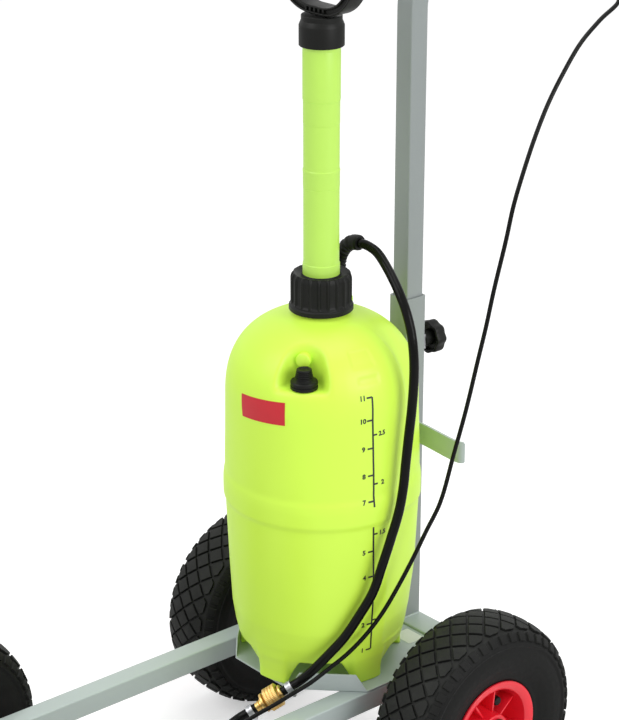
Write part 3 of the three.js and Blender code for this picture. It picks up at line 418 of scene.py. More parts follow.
def lathed(profile, segments, loop=False):
    """Spins an outline of (radius, height) about Z."""
    bm = bmesh.new()
    verts = [bm.verts.new((point[0], 0, point[1])) for point in profile]
    ends = zip(verts, [*verts[1:], verts[0]]) if loop else zip(verts, verts[1:])
    edges = [bm.edges.new(pair) for pair in ends]
    bmesh.ops.spin(
        bm, geom=[*verts, *edges], cent=(0, 0, 0), axis=UP, dvec=(0, 0, 0), angle=math.tau,
        steps=segments, use_merge=True,
    )
    bmesh.ops.remove_doubles(bm, verts=bm.verts, dist=1e-6)
    bmesh.ops.recalc_face_normals(bm, faces=bm.faces)
    return bm


def add_block(bm, size, centre, corner=0.0):
    """A block with softened edges."""
    matrix = Matrix.Translation(centre) @ Matrix.Diagonal((*size, 1))
    verts = bmesh.ops.create_cube(bm, size=1, matrix=matrix)["verts"]
    if corner:
        soften(bm, list({edge for vert in verts for edge in vert.link_edges}), corner, 2)


def soften(bm, geom, width, segments, affect="EDGES"):
    """Rounds edges, or the corners of a flat face when it affects vertices."""
    bmesh.ops.bevel(
        bm, geom=geom, offset=width, offset_type="OFFSET", segments=segments, profile=0.5, affect=affect,
        clamp_overlap=True, material=-1,
    )


def sharp_edges(bm, degrees):
    least = math.radians(degrees)
    return [edge for edge in bm.edges if len(edge.link_faces) == 2 and edge.calc_face_angle(0) > least]


def pressed(bm, depth_at):
    """Presses a lathed shape in towards Z, by a depth for each angle, radius and height."""
    for vert in bm.verts:
        radius = vert.co.xy.length
        depth = depth_at(math.atan2(vert.co.y, vert.co.x), radius, vert.co.z)
        if depth:
            vert.co.xy *= 1 - depth / radius


def add_rod(bm, radius, start, end, sides):
    """A round bar from one point to another."""
    along = end - start
    matrix = Matrix.Translation((start + end) / 2) @ UP.rotation_difference(along).to_matrix().to_4x4()
    bmesh.ops.create_cone(
        bm, cap_ends=True, segments=sides, radius1=radius, radius2=radius, depth=along.length, matrix=matrix
    )


def joined(*meshes):
    """Several meshes as one."""
    whole = bmesh.new()
    for part in meshes:
        data = bpy.data.meshes.new("part")
        part.to_mesh(data)
        part.free()
        whole.from_mesh(data)
        bpy.data.meshes.remove(data)
    return whole


def moved(bm, matrix):
    bmesh.ops.transform(bm, matrix=matrix, verts=bm.verts)
    return bm


def pushed(bm, faces, move):
    """Extrudes faces, and gives the faces at the far end."""
    geom = bmesh.ops.extrude_face_region(bm, geom=faces)["geom"]
    bmesh.ops.translate(bm, vec=move, verts=[part for part in geom if isinstance(part, bmesh.types.BMVert)])
    return [part for part in geom if isinstance(part, bmesh.types.BMFace)]


def mirrored(half):
    """An outline, then its mirror image in the second number, back to where it began."""
    return [*half, *[Vector((point.x, -point.y)) for point in reversed(half)]]


def mm(*points):
    """An outline written in millimetres."""
    return [Vector(point) * MM for point in points]


def grooves(outer, inner, starts, slope, floor):
    """Ring-shaped grooves in an outline: in, along and out again from each start."""
    steps = ((outer, 0), (inner, slope), (inner, slope + floor), (outer, 2 * slope + floor))
    return [(radius, start + step) for start in starts for radius, step in steps]


def at(centre):
    """A move to the upright line through a point."""
    return Matrix.Translation((centre.x, centre.y, 0))


def piece(name, bm, material, body, *nodes, crease=35):
    """Turns a bmesh into a finished piece that rides on a body and stands for CAD nodes."""
    mesh = bpy.data.meshes.new(name)
    bm.normal_update()
    for face in bm.faces:
        face.smooth = True
    for edge in bm.edges:
        if len(edge.link_faces) != 2 or edge.calc_face_angle(0) > math.radians(crease):
            edge.smooth = False
    bm.to_mesh(mesh)
    bm.free()
    thing = linked(name, mesh)
    mesh.materials.append(material_of(material))
    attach(thing, body)
    if nodes:
        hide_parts(*nodes)


def body_of(node):
    return next(name for name, nodes in frame["record"]["behaviour"]["bodies"].items() if node in nodes)


def softened(node, material, width, segments=2):
    """The CAD node's own shape with its edges rounded."""
    bm = bmesh.new()
    bm.from_mesh(frame["nodes"][node].data)
    bmesh.ops.remove_doubles(bm, verts=bm.verts, dist=1e-5)
    bmesh.ops.dissolve_limit(
        bm, angle_limit=math.radians(1), use_dissolve_boundaries=False, verts=bm.verts, edges=bm.edges
    )
    soften(bm, sharp_edges(bm, 25), width, segments)
    piece(f"{node}_finished", bm, material, body_of(node), node)


def route(points, per_span):
    """A centripetal curve through the points, as the same number of points on every span."""
    ends = [points[0] * 2 - points[1], *points, points[-1] * 2 - points[-2]]
    line = []
    for before, start, end, after in zip(ends, ends[1:], ends[2:], ends[3:]):
        steps = [math.sqrt((b - a).length) for a, b in ((before, start), (start, end), (end, after))]
        first, span, last = steps
        slope = (start - before) / first - (end - before) / (first + span) + (end - start) / span
        leave = (end - start) / span - (after - start) / (span + last) + (after - end) / last
        tangent, departure = slope * span, leave * span
        for i in range(per_span):
            t = i / per_span
            line.append(
                start * (2 * t**3 - 3 * t**2 + 1)
                + end * (3 * t**2 - 2 * t**3)
                + tangent * (t**3 - 2 * t**2 + t)
                + departure * (t**3 - t**2)
            )
    return [*line, points[-1]]


def tube_along(line, radii, sides):
    """A round tube along a line, with its own radius at each point and closed ends."""
    bm = bmesh.new()
    rings = []
    side = None
    for index, point in enumerate(line):
        along = (line[min(index + 1, len(line) - 1)] - line[max(index - 1, 0)]).normalized()
        side = along.orthogonal() if side is None else side - along * side.dot(along)
        side.normalize()
        turn = Matrix((side, along.cross(side), along)).transposed().to_4x4()
        circle = bmesh.ops.create_circle(
            bm, cap_ends=False, segments=sides, radius=radii[index], matrix=Matrix.Translation(point) @ turn
        )
        rings.append(circle["verts"])
    for first, second in zip(rings, rings[1:]):
        for i in range(sides):
            j = (i + 1) % sides
            bm.faces.new((first[i], first[j], second[j], second[i]))
    bm.faces.new(list(reversed(rings[0])))
    bm.faces.new(rings[-1])
    bmesh.ops.recalc_face_normals(bm, faces=bm.faces)
    return bm


# ------------------------------------------------------------------ the stage


SKY = 0.62  # strength of the world's light on things
FLOOR_GLOW = 0.42  # what the floor adds of its own, for the camera alone
LAMPS = (  # name, place, size and power
    ("key", (-0.9, -3.2, 3.4), 2.6, 56),
    ("fill", (3.6, 0.7, 2.0), 2.4, 70),
    ("top", (0.2, 0.3, 4.2), 2.6, 40),
)


class SPRAYER_OT_stage(bpy.types.Operator):
    """Camera, floor, light and background"""

    bl_idname = "sprayer.stage"
    bl_label = "Stage"

    azimuth: angle_property("Azimuth", "Turn of the camera about the cart", math.radians(49.504))
    elevation: angle_property("Elevation", "How far the camera looks down", math.radians(21.672))
    focal_length: FloatProperty(name="Focal length", description="In millimetres", default=114.04)

    def execute(self, context):
        scene = context.scene
        scene.view_settings.view_transform = "Standard"
        camera_data = bpy.data.cameras.new("view")
        camera_data.lens = self.focal_length
        camera_data.sensor_width = 36
        camera_data.clip_end = 60
        camera = linked("view", camera_data)
        camera.location = place(1824.83, -1566.62, 1495.70)
        camera.rotation_euler = (math.pi / 2 - self.elevation, 0, self.azimuth)
        scene.camera = camera
        self.background(scene)
        self.floor()
        for lamp in LAMPS:
            self.lamp(*lamp)
        return {"FINISHED"}

    def lamp(self, name, where, size, power):
        data = bpy.data.lights.new(name, "AREA")
        data.size = size
        data.energy = power
        lamp = linked(name, data)
        lamp.location = where
        aim = Vector((0, 0, 0.45)) - Vector(where)
        lamp.rotation_euler = aim.to_track_quat("-Z", "Y").to_euler()

    def background(self, scene):
        """White to the eye and in reflections, and a plain soft sky for the light."""
        world = bpy.data.worlds.new("studio")
        scene.world = world
        world.use_nodes = True
        tree = world.node_tree
        light, white = tree.nodes["Background"], tree.nodes.new("ShaderNodeBackground")
        for node, strength in ((light, SKY), (white, 1.0)):
            node.inputs["Color"].default_value = (1, 1, 1, 1)
            node.inputs["Strength"].default_value = strength
        path = tree.nodes.new("ShaderNodeLightPath")
        plain = path.outputs["Is Camera Ray"]
        for name in ("Is Glossy Ray", "Is Transmission Ray"):
            either = tree.nodes.new("ShaderNodeMath")
            either.operation = "MAXIMUM"
            tree.links.new(plain, either.inputs[0])
            tree.links.new(path.outputs[name], either.inputs[1])
            plain = either.outputs[0]
        mix = tree.nodes.new("ShaderNodeMixShader")
        tree.links.new(plain, mix.inputs[0])
        tree.links.new(light.outputs[0], mix.inputs[1])
        tree.links.new(white.outputs[0], mix.inputs[2])
        tree.links.new(mix.outputs[0], tree.nodes["World Output"].inputs["Surface"])

    def floor(self):
        bm = bmesh.new()
        bmesh.ops.create_circle(bm, cap_ends=True, segments=96, radius=30)
        mesh = bpy.data.meshes.new("floor")
        bm.to_mesh(mesh)
        bm.free()
        floor = linked("floor", mesh)
        floor.location.z = -0.2 * MM
        finish = Finish("pale floor", (0.80, 0.80, 0.80), 0.9, specular_ior_level=0.1)
        seen = finish.node("ShaderNodeLightPath").outputs["Is Camera Ray"]
        plain = finish.shader.outputs[0]
        glow = finish.node("ShaderNodeEmission", None, {"Strength": FLOOR_GLOW})
        both = finish.node("ShaderNodeAddShader", None, {0: plain, 1: glow.outputs[0]})
        mix = finish.node("ShaderNodeMixShader", None, {0: seen, 1: plain, 2: both.outputs[0]})
        finish.tree.links.new(mix.outputs[0], finish.tree.nodes["Material Output"].inputs["Surface"])
        mesh.materials.append(finish.material)


# ------------------------------------------------------------------ hoses, cable and coupling

COUPLING_START = place(59, -99.6, 173.4)
COUPLING_ALONG = Vector((-27, -39.1, -30.1)).normalized()
COUPLING_TILT = UP.rotation_difference(COUPLING_ALONG).to_matrix().to_4x4()
COUPLING_TURN = Matrix.Translation(COUPLING_START) @ COUPLING_TILT
PLUG_END = 35  # this and the two clamps are in millimetres along the coupling
UPPER_CLAMP = -9.8
LOWER_CLAMP = 43.1
CLAMP_FACETS = 64


def on_coupling(distance):
    """A point on the coupling's axis, in millimetres from its start."""
    return COUPLING_START + COUPLING_ALONG * (distance * MM)


PROTECTOR_POINTS = places(
    (-21, 54.7, 615.9), (-21, 54.7, 634), (-19.5, 55, 647), (-14, 56, 658), (-5, 57, 666.2),
    (4, 57.7, 669.2), (10, 58.05, 669.6),
)

TANK_HOSE_POINTS = [
    *places(
        (10.3, 58.07, 669.62), (16, 58.4, 669.9), (24, 59.2, 669), (36, 59.7, 665.4), (57, 55, 655.6),
        (85, 47.8, 636.6), (103, 44.4, 615.4), (114, 42.3, 593.2), (119.5, 41.4, 565.4),
        (121.5, 39.8, 537.7), (122.5, 36.4, 506.4), (123.5, 31.6, 476.7), (124.5, 26.6, 443),
        (125, 23.8, 420.7), (125.5, 16.9, 390.6), (125.3, 5.6, 360.5), (123, -5.6, 328),
        (119, -15.3, 296.7), (112, -30, 268.5), (103, -44.6, 241.7), (93, -59.1, 221.3), (82, -73, 201.7),
    ),
    on_coupling(-24), on_coupling(-12), on_coupling(-0.3),
]

VALVE_HOSE_POINTS = [
    on_coupling(PLUG_END + 0.6), on_coupling(PLUG_END + 13), on_coupling(PLUG_END + 24),
    *places(
        (28, -165, 132), (24.5, -188, 121), (22, -214, 113.5), (20.5, -240, 110.5), (20, -262, 110),
        (20, -305.6, 110),
    ),
]

CABLE_POINTS = places(
    (72, 370.7, 958), (72, 360.7, 958), (79, 351, 955), (98, 344, 948), (119, 336, 939),
    (140, 325.7, 929.9), (148, 287, 914.4), (152.5, 252.4, 894.7), (156, 222.7, 866.4), (159, 197.7, 837.2),
    (160.5, 178.1, 804.7), (161, 162, 770), (161, 147.5, 732), (159.5, 139, 693.5), (157, 125.3, 638.2),
    (155, 116.6, 596.1), (153, 107.6, 558.4), (149, 94.6, 499.1), (145, 82, 450), (140, 66.6, 390.7),
    (136, 50.2, 359.9), (131.5, 34.3, 328.4), (126.5, 15.6, 295.4), (120, -1.9, 265.4), (111.5, -20, 239.6),
    (103, -39.9, 219.2), (93.5, -59.7, 203), (85, -80, 188.5), (78, -101.6, 179), (71, -118.5, 170),
    (62, -138.6, 160), (56, -163, 151), (52, -197, 143), (50, -232, 138), (50, -275.6, 136),
    (50, -301.6, 136),
)


def knurled(bm, teeth, depth, low_edge, high_edge):
    """Presses teeth into the surface between two heights."""

    def depth_at(angle, radius, height):
        inside = low_edge < height < high_edge and radius > 10 * MM
        return depth * (0.5 + 0.5 * math.cos(teeth * angle)) if inside else 0

    pressed(bm, depth_at)


class SPRAYER_OT_coupling(bpy.types.Operator):
    """Brass quick coupling between the two hoses, and the clamps on each side of it"""

    bl_idname = "sprayer.coupling"
    bl_label = "Coupling"

    teeth: IntProperty(name="Teeth", description="Teeth round the knurled sleeve", default=48, min=8)

    def execute(self, context):
        socket = lathed(mm(
            (5.3, 0), (8.4, 0), (9.2, 0.8), (9.2, 2.6), (8.2, 3), (8.2, 23), (11.2, 23), (11.8, 23.6),
            (11.8, 25.4), (11.2, 26), (5.3, 26),
        ), 64, loop=True)
        piece("brass_socket", moved(socket, COUPLING_TURN), "turned_brass", "frame", "coupling_socket")
        sleeve = lathed(mm(
            (8.5, 7.2), (9.5, 7.2), (9.5, 3.6), (11.2, 3.6), (12.5, 4.2), (14.2, 5),
            *grooves(14.2, 13.4, (8, 11.6, 15.2), 0.4, 0.6),
            (14.2, 19.6), (12.6, 20.6), (11.2, 22.2), (9.8, 22.7), (8.5, 22.7),
        ), 240, loop=True)
        knurled(sleeve, self.teeth, 0.3 * MM, 4.5 * MM, 20 * MM)
        moved(sleeve, COUPLING_TURN)
        piece("brass_sleeve", sleeve, "turned_brass", "release_sleeve", "coupling_sleeve")
        plug = lathed(mm(
            (0, 12), (5, 12), (5, 26.3), (6.4, 26.3), (6.4, 29), (5.6, 29.6), (5.2, 30), (5.9, 30.6),
            (5.9, 32.4), (5.2, 33), (5.4, 35.3), (0, 35.3),
        ), 48)
        piece("brass_plug", moved(plug, COUPLING_TURN), "turned_brass", "frame", "coupling_plug")
        self.clamp("upper", UPPER_CLAMP)
        self.clamp("lower", LOWER_CLAMP)
        return {"FINISHED"}

    def clamp(self, name, distance):
        """A worm clamp: a slotted band, its housing and the screw."""
        outline = mm((6.1, -3.5), (7.3, -3.5), (7.3, -2), (7.3, 2), (7.3, 3.5), (6.1, 3.5))
        band = lathed(outline, CLAMP_FACETS, loop=True)
        slots = []
        for face in band.faces:
            centre = face.calc_center_median()
            facet = math.degrees(math.atan2(centre.y, centre.x)) % 360 * CLAMP_FACETS / 360
            if abs(centre.z) < 1 * MM and centre.xy.length > 7 * MM and round(facet - 0.5) % 2:
                slots.append(face)
        bmesh.ops.inset_individual(band, faces=slots, thickness=0.12 * MM, depth=-0.5 * MM)
        case = bmesh.new()
        add_block(case, (4.6 * MM, 8 * MM, 6 * MM), Vector((9, 0, 0)) * MM, 0.8 * MM)
        add_rod(case, 2.2 * MM, Vector((9.6, -6, 0)) * MM, Vector((9.6, 5.6, 0)) * MM, 20)
        add_rod(case, 3.1 * MM, Vector((9.6, -8.2, 0)) * MM, Vector((9.6, -6, 0)) * MM, 6)
        shift = Matrix.Translation((0, 0, distance * MM))
        whole = moved(joined(band, case), COUPLING_TURN @ shift @ Matrix.Rotation(math.radians(-130), 4, "Z"))
        piece(f"worm_clamp_{name}", whole, "zinc_steel", "frame", f"hose_clamp_{name}")


class SPRAYER_OT_cords(bpy.types.Operator):
    """Tank hose, valve hose and control cable"""

    bl_idname = "sprayer.cords"
    bl_label = "Hoses and cable"

    hose_diameter: length_property("Hose diameter", "Outer diameter of both hoses", 11 * MM)
    cable_diameter: length_property("Cable diameter", "Outer diameter of the jacket", 5 * MM)

    def execute(self, context):
        upper = ["brass_socket", "brass_sleeve", "worm_clamp_upper"]
        self.hose("tank_hose_run", TANK_HOSE_POINTS, "tank_hose", "connector", upper)
        lower = ["brass_plug", "worm_clamp_lower"]
        self.hose("valve_hose_run", VALVE_HOSE_POINTS, "valve_hose", "object", lower)
        self.cable()
        return {"FINISHED"}

    def hose(self, name, points, node, far_end, on_it):
        line = route(points, 6)
        curve = bpy.data.curves.new(name, "CURVE")
        curve.dimensions = "3D"
        curve.bevel_depth = self.hose_diameter / 2
        curve.bevel_resolution = 6
        curve.use_fill_caps = True
        spline = curve.splines.new("POLY")
        spline.points.add(len(line) - 1)
        for point, where in zip(spline.points, line):
            point.co = (*where, 1)
        hose = linked(name, curve)
        curve.materials.append(material_of("hose_rubber"))
        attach(hose, "frame")
        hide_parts(node)
        length_of(line)

    def cable(self):
        """The cable runs from the handle above down to the frame below."""
        line = route(CABLE_POINTS, 7)
        tube = tube_along(line, [self.cable_diameter / 2] * len(line), 16)
        mesh = bpy.data.meshes.new("control_cable_run")
        for face in tube.faces:
            face.smooth = len(face.verts) == 4
        tube.to_mesh(mesh)
        tube.free()
        cable = linked("control_cable_run", mesh)
        mesh.materials.append(material_of("cable_jacket"))
        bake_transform(cable)
        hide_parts("control_cable")
        length_of(line)


# ------------------------------------------------------------------ wheels

TYRE_HALF = mm(
    (127, 0), (126.5, 12), (124.6, 24), (120.4, 33), (115, 38.6), (111.4, 40.4), (110.2, 41.8),
    (108.4, 42.5), (106.6, 42.3), (105.4, 41), (104, 41.4), (100, 42.2), (92, 42.4), (82, 41), (74, 38.6),
    (69, 36.7), (65.5, 36.4), (63, 35.6), (62.3, 34),
)
TYRE_SEAT = mm((54.4, 33.8))
RIM_HALF = mm(
    (61.3, 34.6), (62, 35.3), (62, 37.2), (61.2, 38), (59.5, 38), (56, 37.2), (53, 36), (51, 34.2),
    (50.3, 31), (49.6, 22), (47.6, 8), (45.5, 4), (42, 3), (23.5, 3), (22, 4.5), (20.8, 20), (20.2, 36.2),
    (19, 37.5), (13.8, 37.5),
)
RIM_SEAT = mm((54, 34.5), (50, 0), (54, -34.5))
ONCE_ROUND = math.tau * 130 * MM  # the length of the tread
TREAD_HALF = 32 * MM
LUG_SPAN = (31 * MM, 48 * MM)  # from the middle of the tread
LUG_GROOVE, LUG_DEPTH = 6.4 * MM, 2.6 * MM
SMALLEST_BLOCK = 12 * MM * MM
HUB_LENGTH = 82 * MM  # from the end of an axle to its flange


def wheel_place(key):
    """From a shape turned about Z to the wheel's place on its axle, its outer side outwards."""
    outward = 0 if WHEELS[key] > 0 else math.pi
    centre = middle(f"tyre_{key}")
    return Matrix.Translation(centre) @ Matrix.Rotation(outward, 4, "Z") @ ALONG_X


class SPRAYER_OT_wheels(bpy.types.Operator):
    """Four tyres with block tread, their rims, bushes, axles and axle caps"""

    bl_idname = "sprayer.wheels"
    bl_label = "Wheels"

    facets: IntProperty(name="Facets", description="Facets round a tyre", default=144, min=24)

    def execute(self, context):
        sizes = context.scene.cart_sizes
        self.crown = eased(evenly(TYRE_HALF, 1 * MM), 3)
        self.stations = distances(self.crown)
        tyre, rim = self.tyre(sizes), self.rim(sizes)
        for key in WHEELS:
            where = wheel_place(key)
            body = f"wheel_{key}"
            piece(f"tyre_{key}_finished", moved(tyre.copy(), where), "tyre_rubber", body, f"tyre_{key}")
            piece(f"rim_{key}_finished", moved(rim.copy(), where), "rim_plastic", body, f"rim_{key}")
            piece(f"valve_{key}", moved(self.tyre_valve(), where), "black_plastic", body)
            bush = mm((10.4, -37.5), (13, -37.5), (13.4, -37), (13.4, 37), (13, 37.5), (10.4, 37.5))
            bush = moved(lathed(bush, 48, loop=True), where)
            piece(f"bush_{key}_finished", bush, "black_plastic", body, f"bush_{key}")
            cap = lathed(mm(
                (0, 44.8), (10.4, 44.8), (10.4, 37.8), (15.4, 37.8), (16, 38.4), (16, 40.6), (15, 41.2),
                (13.2, 41.6), (12.6, 43), (12, 46), (10.6, 47.3), (3, 47.3), (2, 46.6), (0, 46.6),
            ), 48)
            piece(f"axle_cap_{key}_finished", moved(cap, where), "black_plastic", "frame", f"axle_cap_{key}")
        tyre.free()
        rim.free()
        for end in ("rear", "front"):
            self.axle(end)
        return {"FINISHED"}

    def on_crown(self, along, across, lift):
        """A point of the tread: along the tyre, across from its middle, and up from its surface."""
        reach = min(abs(across), self.stations[-1] - 1e-6)
        index = next(i for i, station in enumerate(self.stations) if station > reach)
        first, second = self.crown[index - 1], self.crown[index]
        share = (reach - self.stations[index - 1]) / (self.stations[index] - self.stations[index - 1])
        point = first.lerp(second, share)
        slope = (second - first).normalized()
        radius, width = point.x + slope.y * lift, point.y - slope.x * lift
        angle = math.tau * along / ONCE_ROUND
        return Vector((radius * math.cos(angle), radius * math.sin(angle), math.copysign(width, across)))

    def blocks(self, cells, size, turn, first, last, groove, depth):
        """Square cells, kept between two lines across the tread, parted by grooves and raised."""
        bm = bmesh.new()
        bmesh.ops.create_grid(bm, x_segments=cells[0], y_segments=cells[1], size=0.5)
        bmesh.ops.scale(bm, vec=(cells[0] * size[0], cells[1] * size[1], 1), verts=bm.verts)
        bmesh.ops.rotate(bm, cent=(0, 0, 0), matrix=Matrix.Rotation(turn, 3, "Z"), verts=bm.verts)
        if turn:
            half = ONCE_ROUND / 2
            outside = [face for face in bm.faces if not -half <= face.calc_center_median().x + 1e-5 < half]
            bmesh.ops.delete(bm, geom=outside, context="FACES")
        else:
            bmesh.ops.translate(bm, vec=(0, (first + last) / 2, 0), verts=bm.verts)
        for edge, outward in ((first, -1), (last, 1)):
            bmesh.ops.bisect_plane(
                bm, geom=[*bm.verts, *bm.edges, *bm.faces], plane_co=(0, edge, 0), plane_no=(0, outward, 0),
                clear_outer=True,
            )
        tiles = list(bm.faces)
        inset = bmesh.ops.inset_individual(bm, faces=tiles, thickness=groove / 2, use_even_offset=True)
        grooves = [face for face in inset["faces"] if face.is_valid]
        small = [face for face in tiles if face.is_valid and face.calc_area() < SMALLEST_BLOCK]
        bmesh.ops.delete(bm, geom=[*grooves, *small], context="FACES")
        bmesh.ops.subdivide_edges(bm, edges=bm.edges, cuts=5 if turn else 1, use_grid_fill=True)
        sunk = 0.5 * MM
        bmesh.ops.translate(bm, vec=(0, 0, -sunk), verts=bm.verts)
        bm.normal_update()
        bmesh.ops.reverse_faces(bm, faces=[face for face in bm.faces if face.normal.z < 0])
        top = list(bm.faces)
        chamfer = 0.4 * MM
        for thickness, rise in ((0.35 * MM, depth + sunk - chamfer), (0.45 * MM, chamfer)):
            bmesh.ops.inset_region(
                bm, faces=top, thickness=thickness, depth=rise, use_boundary=True, use_even_offset=False
            )
        if turn:
            self.serrate(bm, size[0], turn, size[0] / 2 - groove / 2)
        for vert in bm.verts:
            vert.co = self.on_crown(vert.co.x, vert.co.y, vert.co.z)
        return bm

    def serrate(self, bm, size, turn, edge):
        """Notches two opposite sides of every block."""
        back = Matrix.Rotation(-turn, 3, "Z")
        for vert in bm.verts:
            flat = back @ vert.co
            inside = [(part / size + 0.5) % 1 * size - size / 2 for part in flat.xy]
            step = round((inside[1] + edge) / (edge / 3))
            if abs(inside[0]) > edge - 0.85 * MM and step % 2:
                flat.x -= math.copysign(0.8 * MM, inside[0])
                vert.co = back.transposed() @ flat

    def tyre(self, sizes):
        half = self.crown
        outline = [*[Vector((p.x, -p.y)) for p in reversed(half[1:])], *half]
        outline += [*TYRE_SEAT, Vector((TYRE_SEAT[0].x, -TYRE_SEAT[0].y))]
        carcass = lathed(outline, self.facets, loop=True)
        diagonal = ONCE_ROUND / sizes.tread_blocks
        edge = diagonal / math.sqrt(2)
        count = 2 * math.ceil((ONCE_ROUND / 2 + TREAD_HALF + diagonal) / diagonal)
        groove, depth = sizes.tread_groove, sizes.tread_depth
        parts = [
            self.blocks((count, count), (edge, edge), math.pi / 4, -TREAD_HALF, TREAD_HALF, groove, depth)
        ]
        lugs, (inner, outer) = sizes.shoulder_lugs, LUG_SPAN
        for first, last in ((inner, outer), (-outer, -inner)):
            size = (ONCE_ROUND / lugs, outer - inner)
            parts.append(self.blocks((lugs, 1), size, 0, first, last, LUG_GROOVE, LUG_DEPTH))
        return joined(carcass, *parts)

    def rim(self, sizes):
        body = lathed([*mirrored(RIM_HALF), *reversed(RIM_SEAT)], 96, loop=True)
        ribs = bmesh.new()
        for index in range(sizes.rim_ribs):
            turn = Matrix.Rotation(math.tau * index / sizes.rim_ribs + math.radians(30), 4, "Z")
            for side in (1, -1):
                rib = bmesh.new()
                add_block(rib, (29 * MM, 3.2 * MM, 22 * MM), Vector((34.8 * MM, 0, side * 13 * MM)))
                for vert in rib.verts:  # the free edge falls from the hub towards the rim
                    if vert.co.z * side > 20 * MM:
                        vert.co.z += side * (3 * MM if vert.co.x < 30 * MM else -1 * MM)
                        vert.co.y *= 0.7
                soften(rib, list(rib.edges), 0.5 * MM, 2)
                moved(rib, turn)
                ribs = joined(ribs, rib)
        return joined(body, ribs)

    def tyre_valve(self):
        stem = lathed(mm((0, 3), (6, 3), (6, 9), (5.4, 11), (5.4, 21), (4.8, 22), (3.4, 22.4), (0, 22.4)), 32)
        return moved(stem, Matrix.Rotation(math.radians(144), 4, "Z") @ Matrix.Translation((32 * MM, 0, 0)))

    def axle(self, end):
        reach = high(f"{end}_axle").x
        stop = reach - HUB_LENGTH - GAP
        ends = ((9, reach), (10, reach - 1 * MM), (10, stop))
        flange = ((14.2, 0), (15, 0.8), (15, 7.2), (14.2, 8), (10, 8))
        half = [Vector((radius * MM, along)) for radius, along in ends]
        half += [Vector((radius * MM, stop - along * MM)) for radius, along in flange]
        outline = [Vector((0, reach)), *mirrored(half), Vector((0, -reach))]
        where = Matrix.Translation(middle(f"{end}_axle")) @ ALONG_X
        piece(f"{end}_axle_finished", moved(lathed(outline, 40), where), "zinc_steel", "frame", f"{end}_axle")


# ------------------------------------------------------------------ tank

TANK_AXIS = place(0, 9, 0)
TANK_FOOT = low("tank_shell").z
TANK_SIDE = (  # heights above the foot, and the wall's radius there, in millimetres
    (0, 87), (12, 90.2), (31, 97), (47, 100.6), (71, 104.3), (121, 107.1), (174, 109.4), (206, 110.8),
    (208.6, 113), (228, 113.2), (236, 112.6), (242, 111.2), (250, 111.2), (290, 110.3), (330, 109.7),
)
SHOULDER = 330
DOME_RADIUS = 109.7
DOME_HEIGHT = 100.8
DOME_POWER = 2.5
FEET = 5
FOOT_STEP = 360 / FEET
FOOT_TURN = -5  # this and the other turns are in degrees round the tank
FOOT_REACH = ((0, 9.5), (12, 6), (24, 3), (40, 0.8), (56, 0))  # heights, and how far a foot stands out there
ARCH_TOP = 45  # above this height the arches between the feet change nothing
FULL_TURN = 52
POCKET_TURN = -53
POCKET_CENTRE = 97
POCKET_RADIUS = 27
POCKET_FLOOR = 370.5
NO_POCKET = 132  # where the pocket's back is outside the wall
# heights, and the turn that the soft edge on the tank's right has there
CREASE = ((0, 4), (219, 4.5), (236, 5.8), (280, 13.6), (314, 20), (362, 18.6), (427, 18.6))
BOSS_TURN = -56
PER_DEGREE = 1.95  # millimetres along the wall


def dome_radius(height):
    """The dome's radius at a height above the tank's foot, in millimetres."""
    share = clamp((height - SHOULDER) / DOME_HEIGHT)
    return DOME_RADIUS * (1 - share**DOME_POWER) ** (1 / DOME_POWER)


def side_radius(height):
    return stepped(TANK_SIDE, height) if height < SHOULDER else dome_radius(height)


def crease_depth(azimuth, height):
    """How far the wall falls back behind the soft edge on the tank's right, in millimetres."""
    past = azimuth - stepped(CREASE, height)
    if past <= 0 or past > 40:
        return 0.0
    fade = 1 - smooth_step(14, 38, past)
    deep = 2.2 + 1.4 * smooth_step(260, 340, height)
    above = 1 - smooth_step(405, 425, height)
    return deep * (1 - math.exp(-past / 4)) * fade * above * smooth_step(0, 60, height)


def foot_bulge(azimuth, height):
    """How far a foot's front stands out from the wall beside it, in millimetres."""
    aside = abs((azimuth - FOOT_TURN + FOOT_STEP / 2) % FOOT_STEP - FOOT_STEP / 2)
    return stepped(FOOT_REACH, height) * (1 - smooth_step(11, 15, aside))


def fullness(azimuth, height):
    """How much fuller the wall is behind the soft edge, in millimetres."""
    near = 1 - smooth_step(8, 36, abs(azimuth - FULL_TURN))
    return 3.0 * near * smooth_step(60, 130, height) * (1 - smooth_step(330, 420, height))


def on_tank(azimuth, height, lift=0.25):
    """A point of the tank's wall, from degrees round it and millimetres up it."""
    radius = side_radius(height) + foot_bulge(azimuth, height) + fullness(azimuth, height)
    radius = (radius - crease_depth(azimuth, height) + lift) * MM
    angle = math.radians(azimuth)
    return TANK_AXIS + Vector((radius * math.cos(angle), radius * math.sin(angle), TANK_FOOT + height * MM))


def arch_height(x, y):
    """The height of the tank's underside between its feet, in millimetres."""
    height = stepped(((36, 31), (48, -6)), math.hypot(x, y))
    for index in range(FEET):
        angle = math.radians(FOOT_TURN + FOOT_STEP * (index - 0.5))
        along = x * math.cos(angle) + y * math.sin(angle)
        across = abs(y * math.cos(angle) - x * math.sin(angle))
        if along > 20:
            height = soft_max(height, stepped(((24, 31), (40, -5), (50, -12)), across), 1)
    return height


def from_pocket(azimuth):
    """How many degrees a turn is from the middle of the relief valve's pocket."""
    return abs((azimuth - POCKET_TURN + 180) % 360 - 180)


def pocket_wall(azimuth):
    """How far from the tank's axis the back of the pocket stands, in millimetres."""
    turn = from_pocket(azimuth)
    aside = min(POCKET_CENTRE * math.sin(math.radians(turn)), POCKET_RADIUS)
    back = POCKET_CENTRE * math.cos(math.radians(turn)) - math.sqrt(POCKET_RADIUS**2 - aside**2)
    return back + (NO_POCKET - back) * smooth_step(13.5, 22, turn)


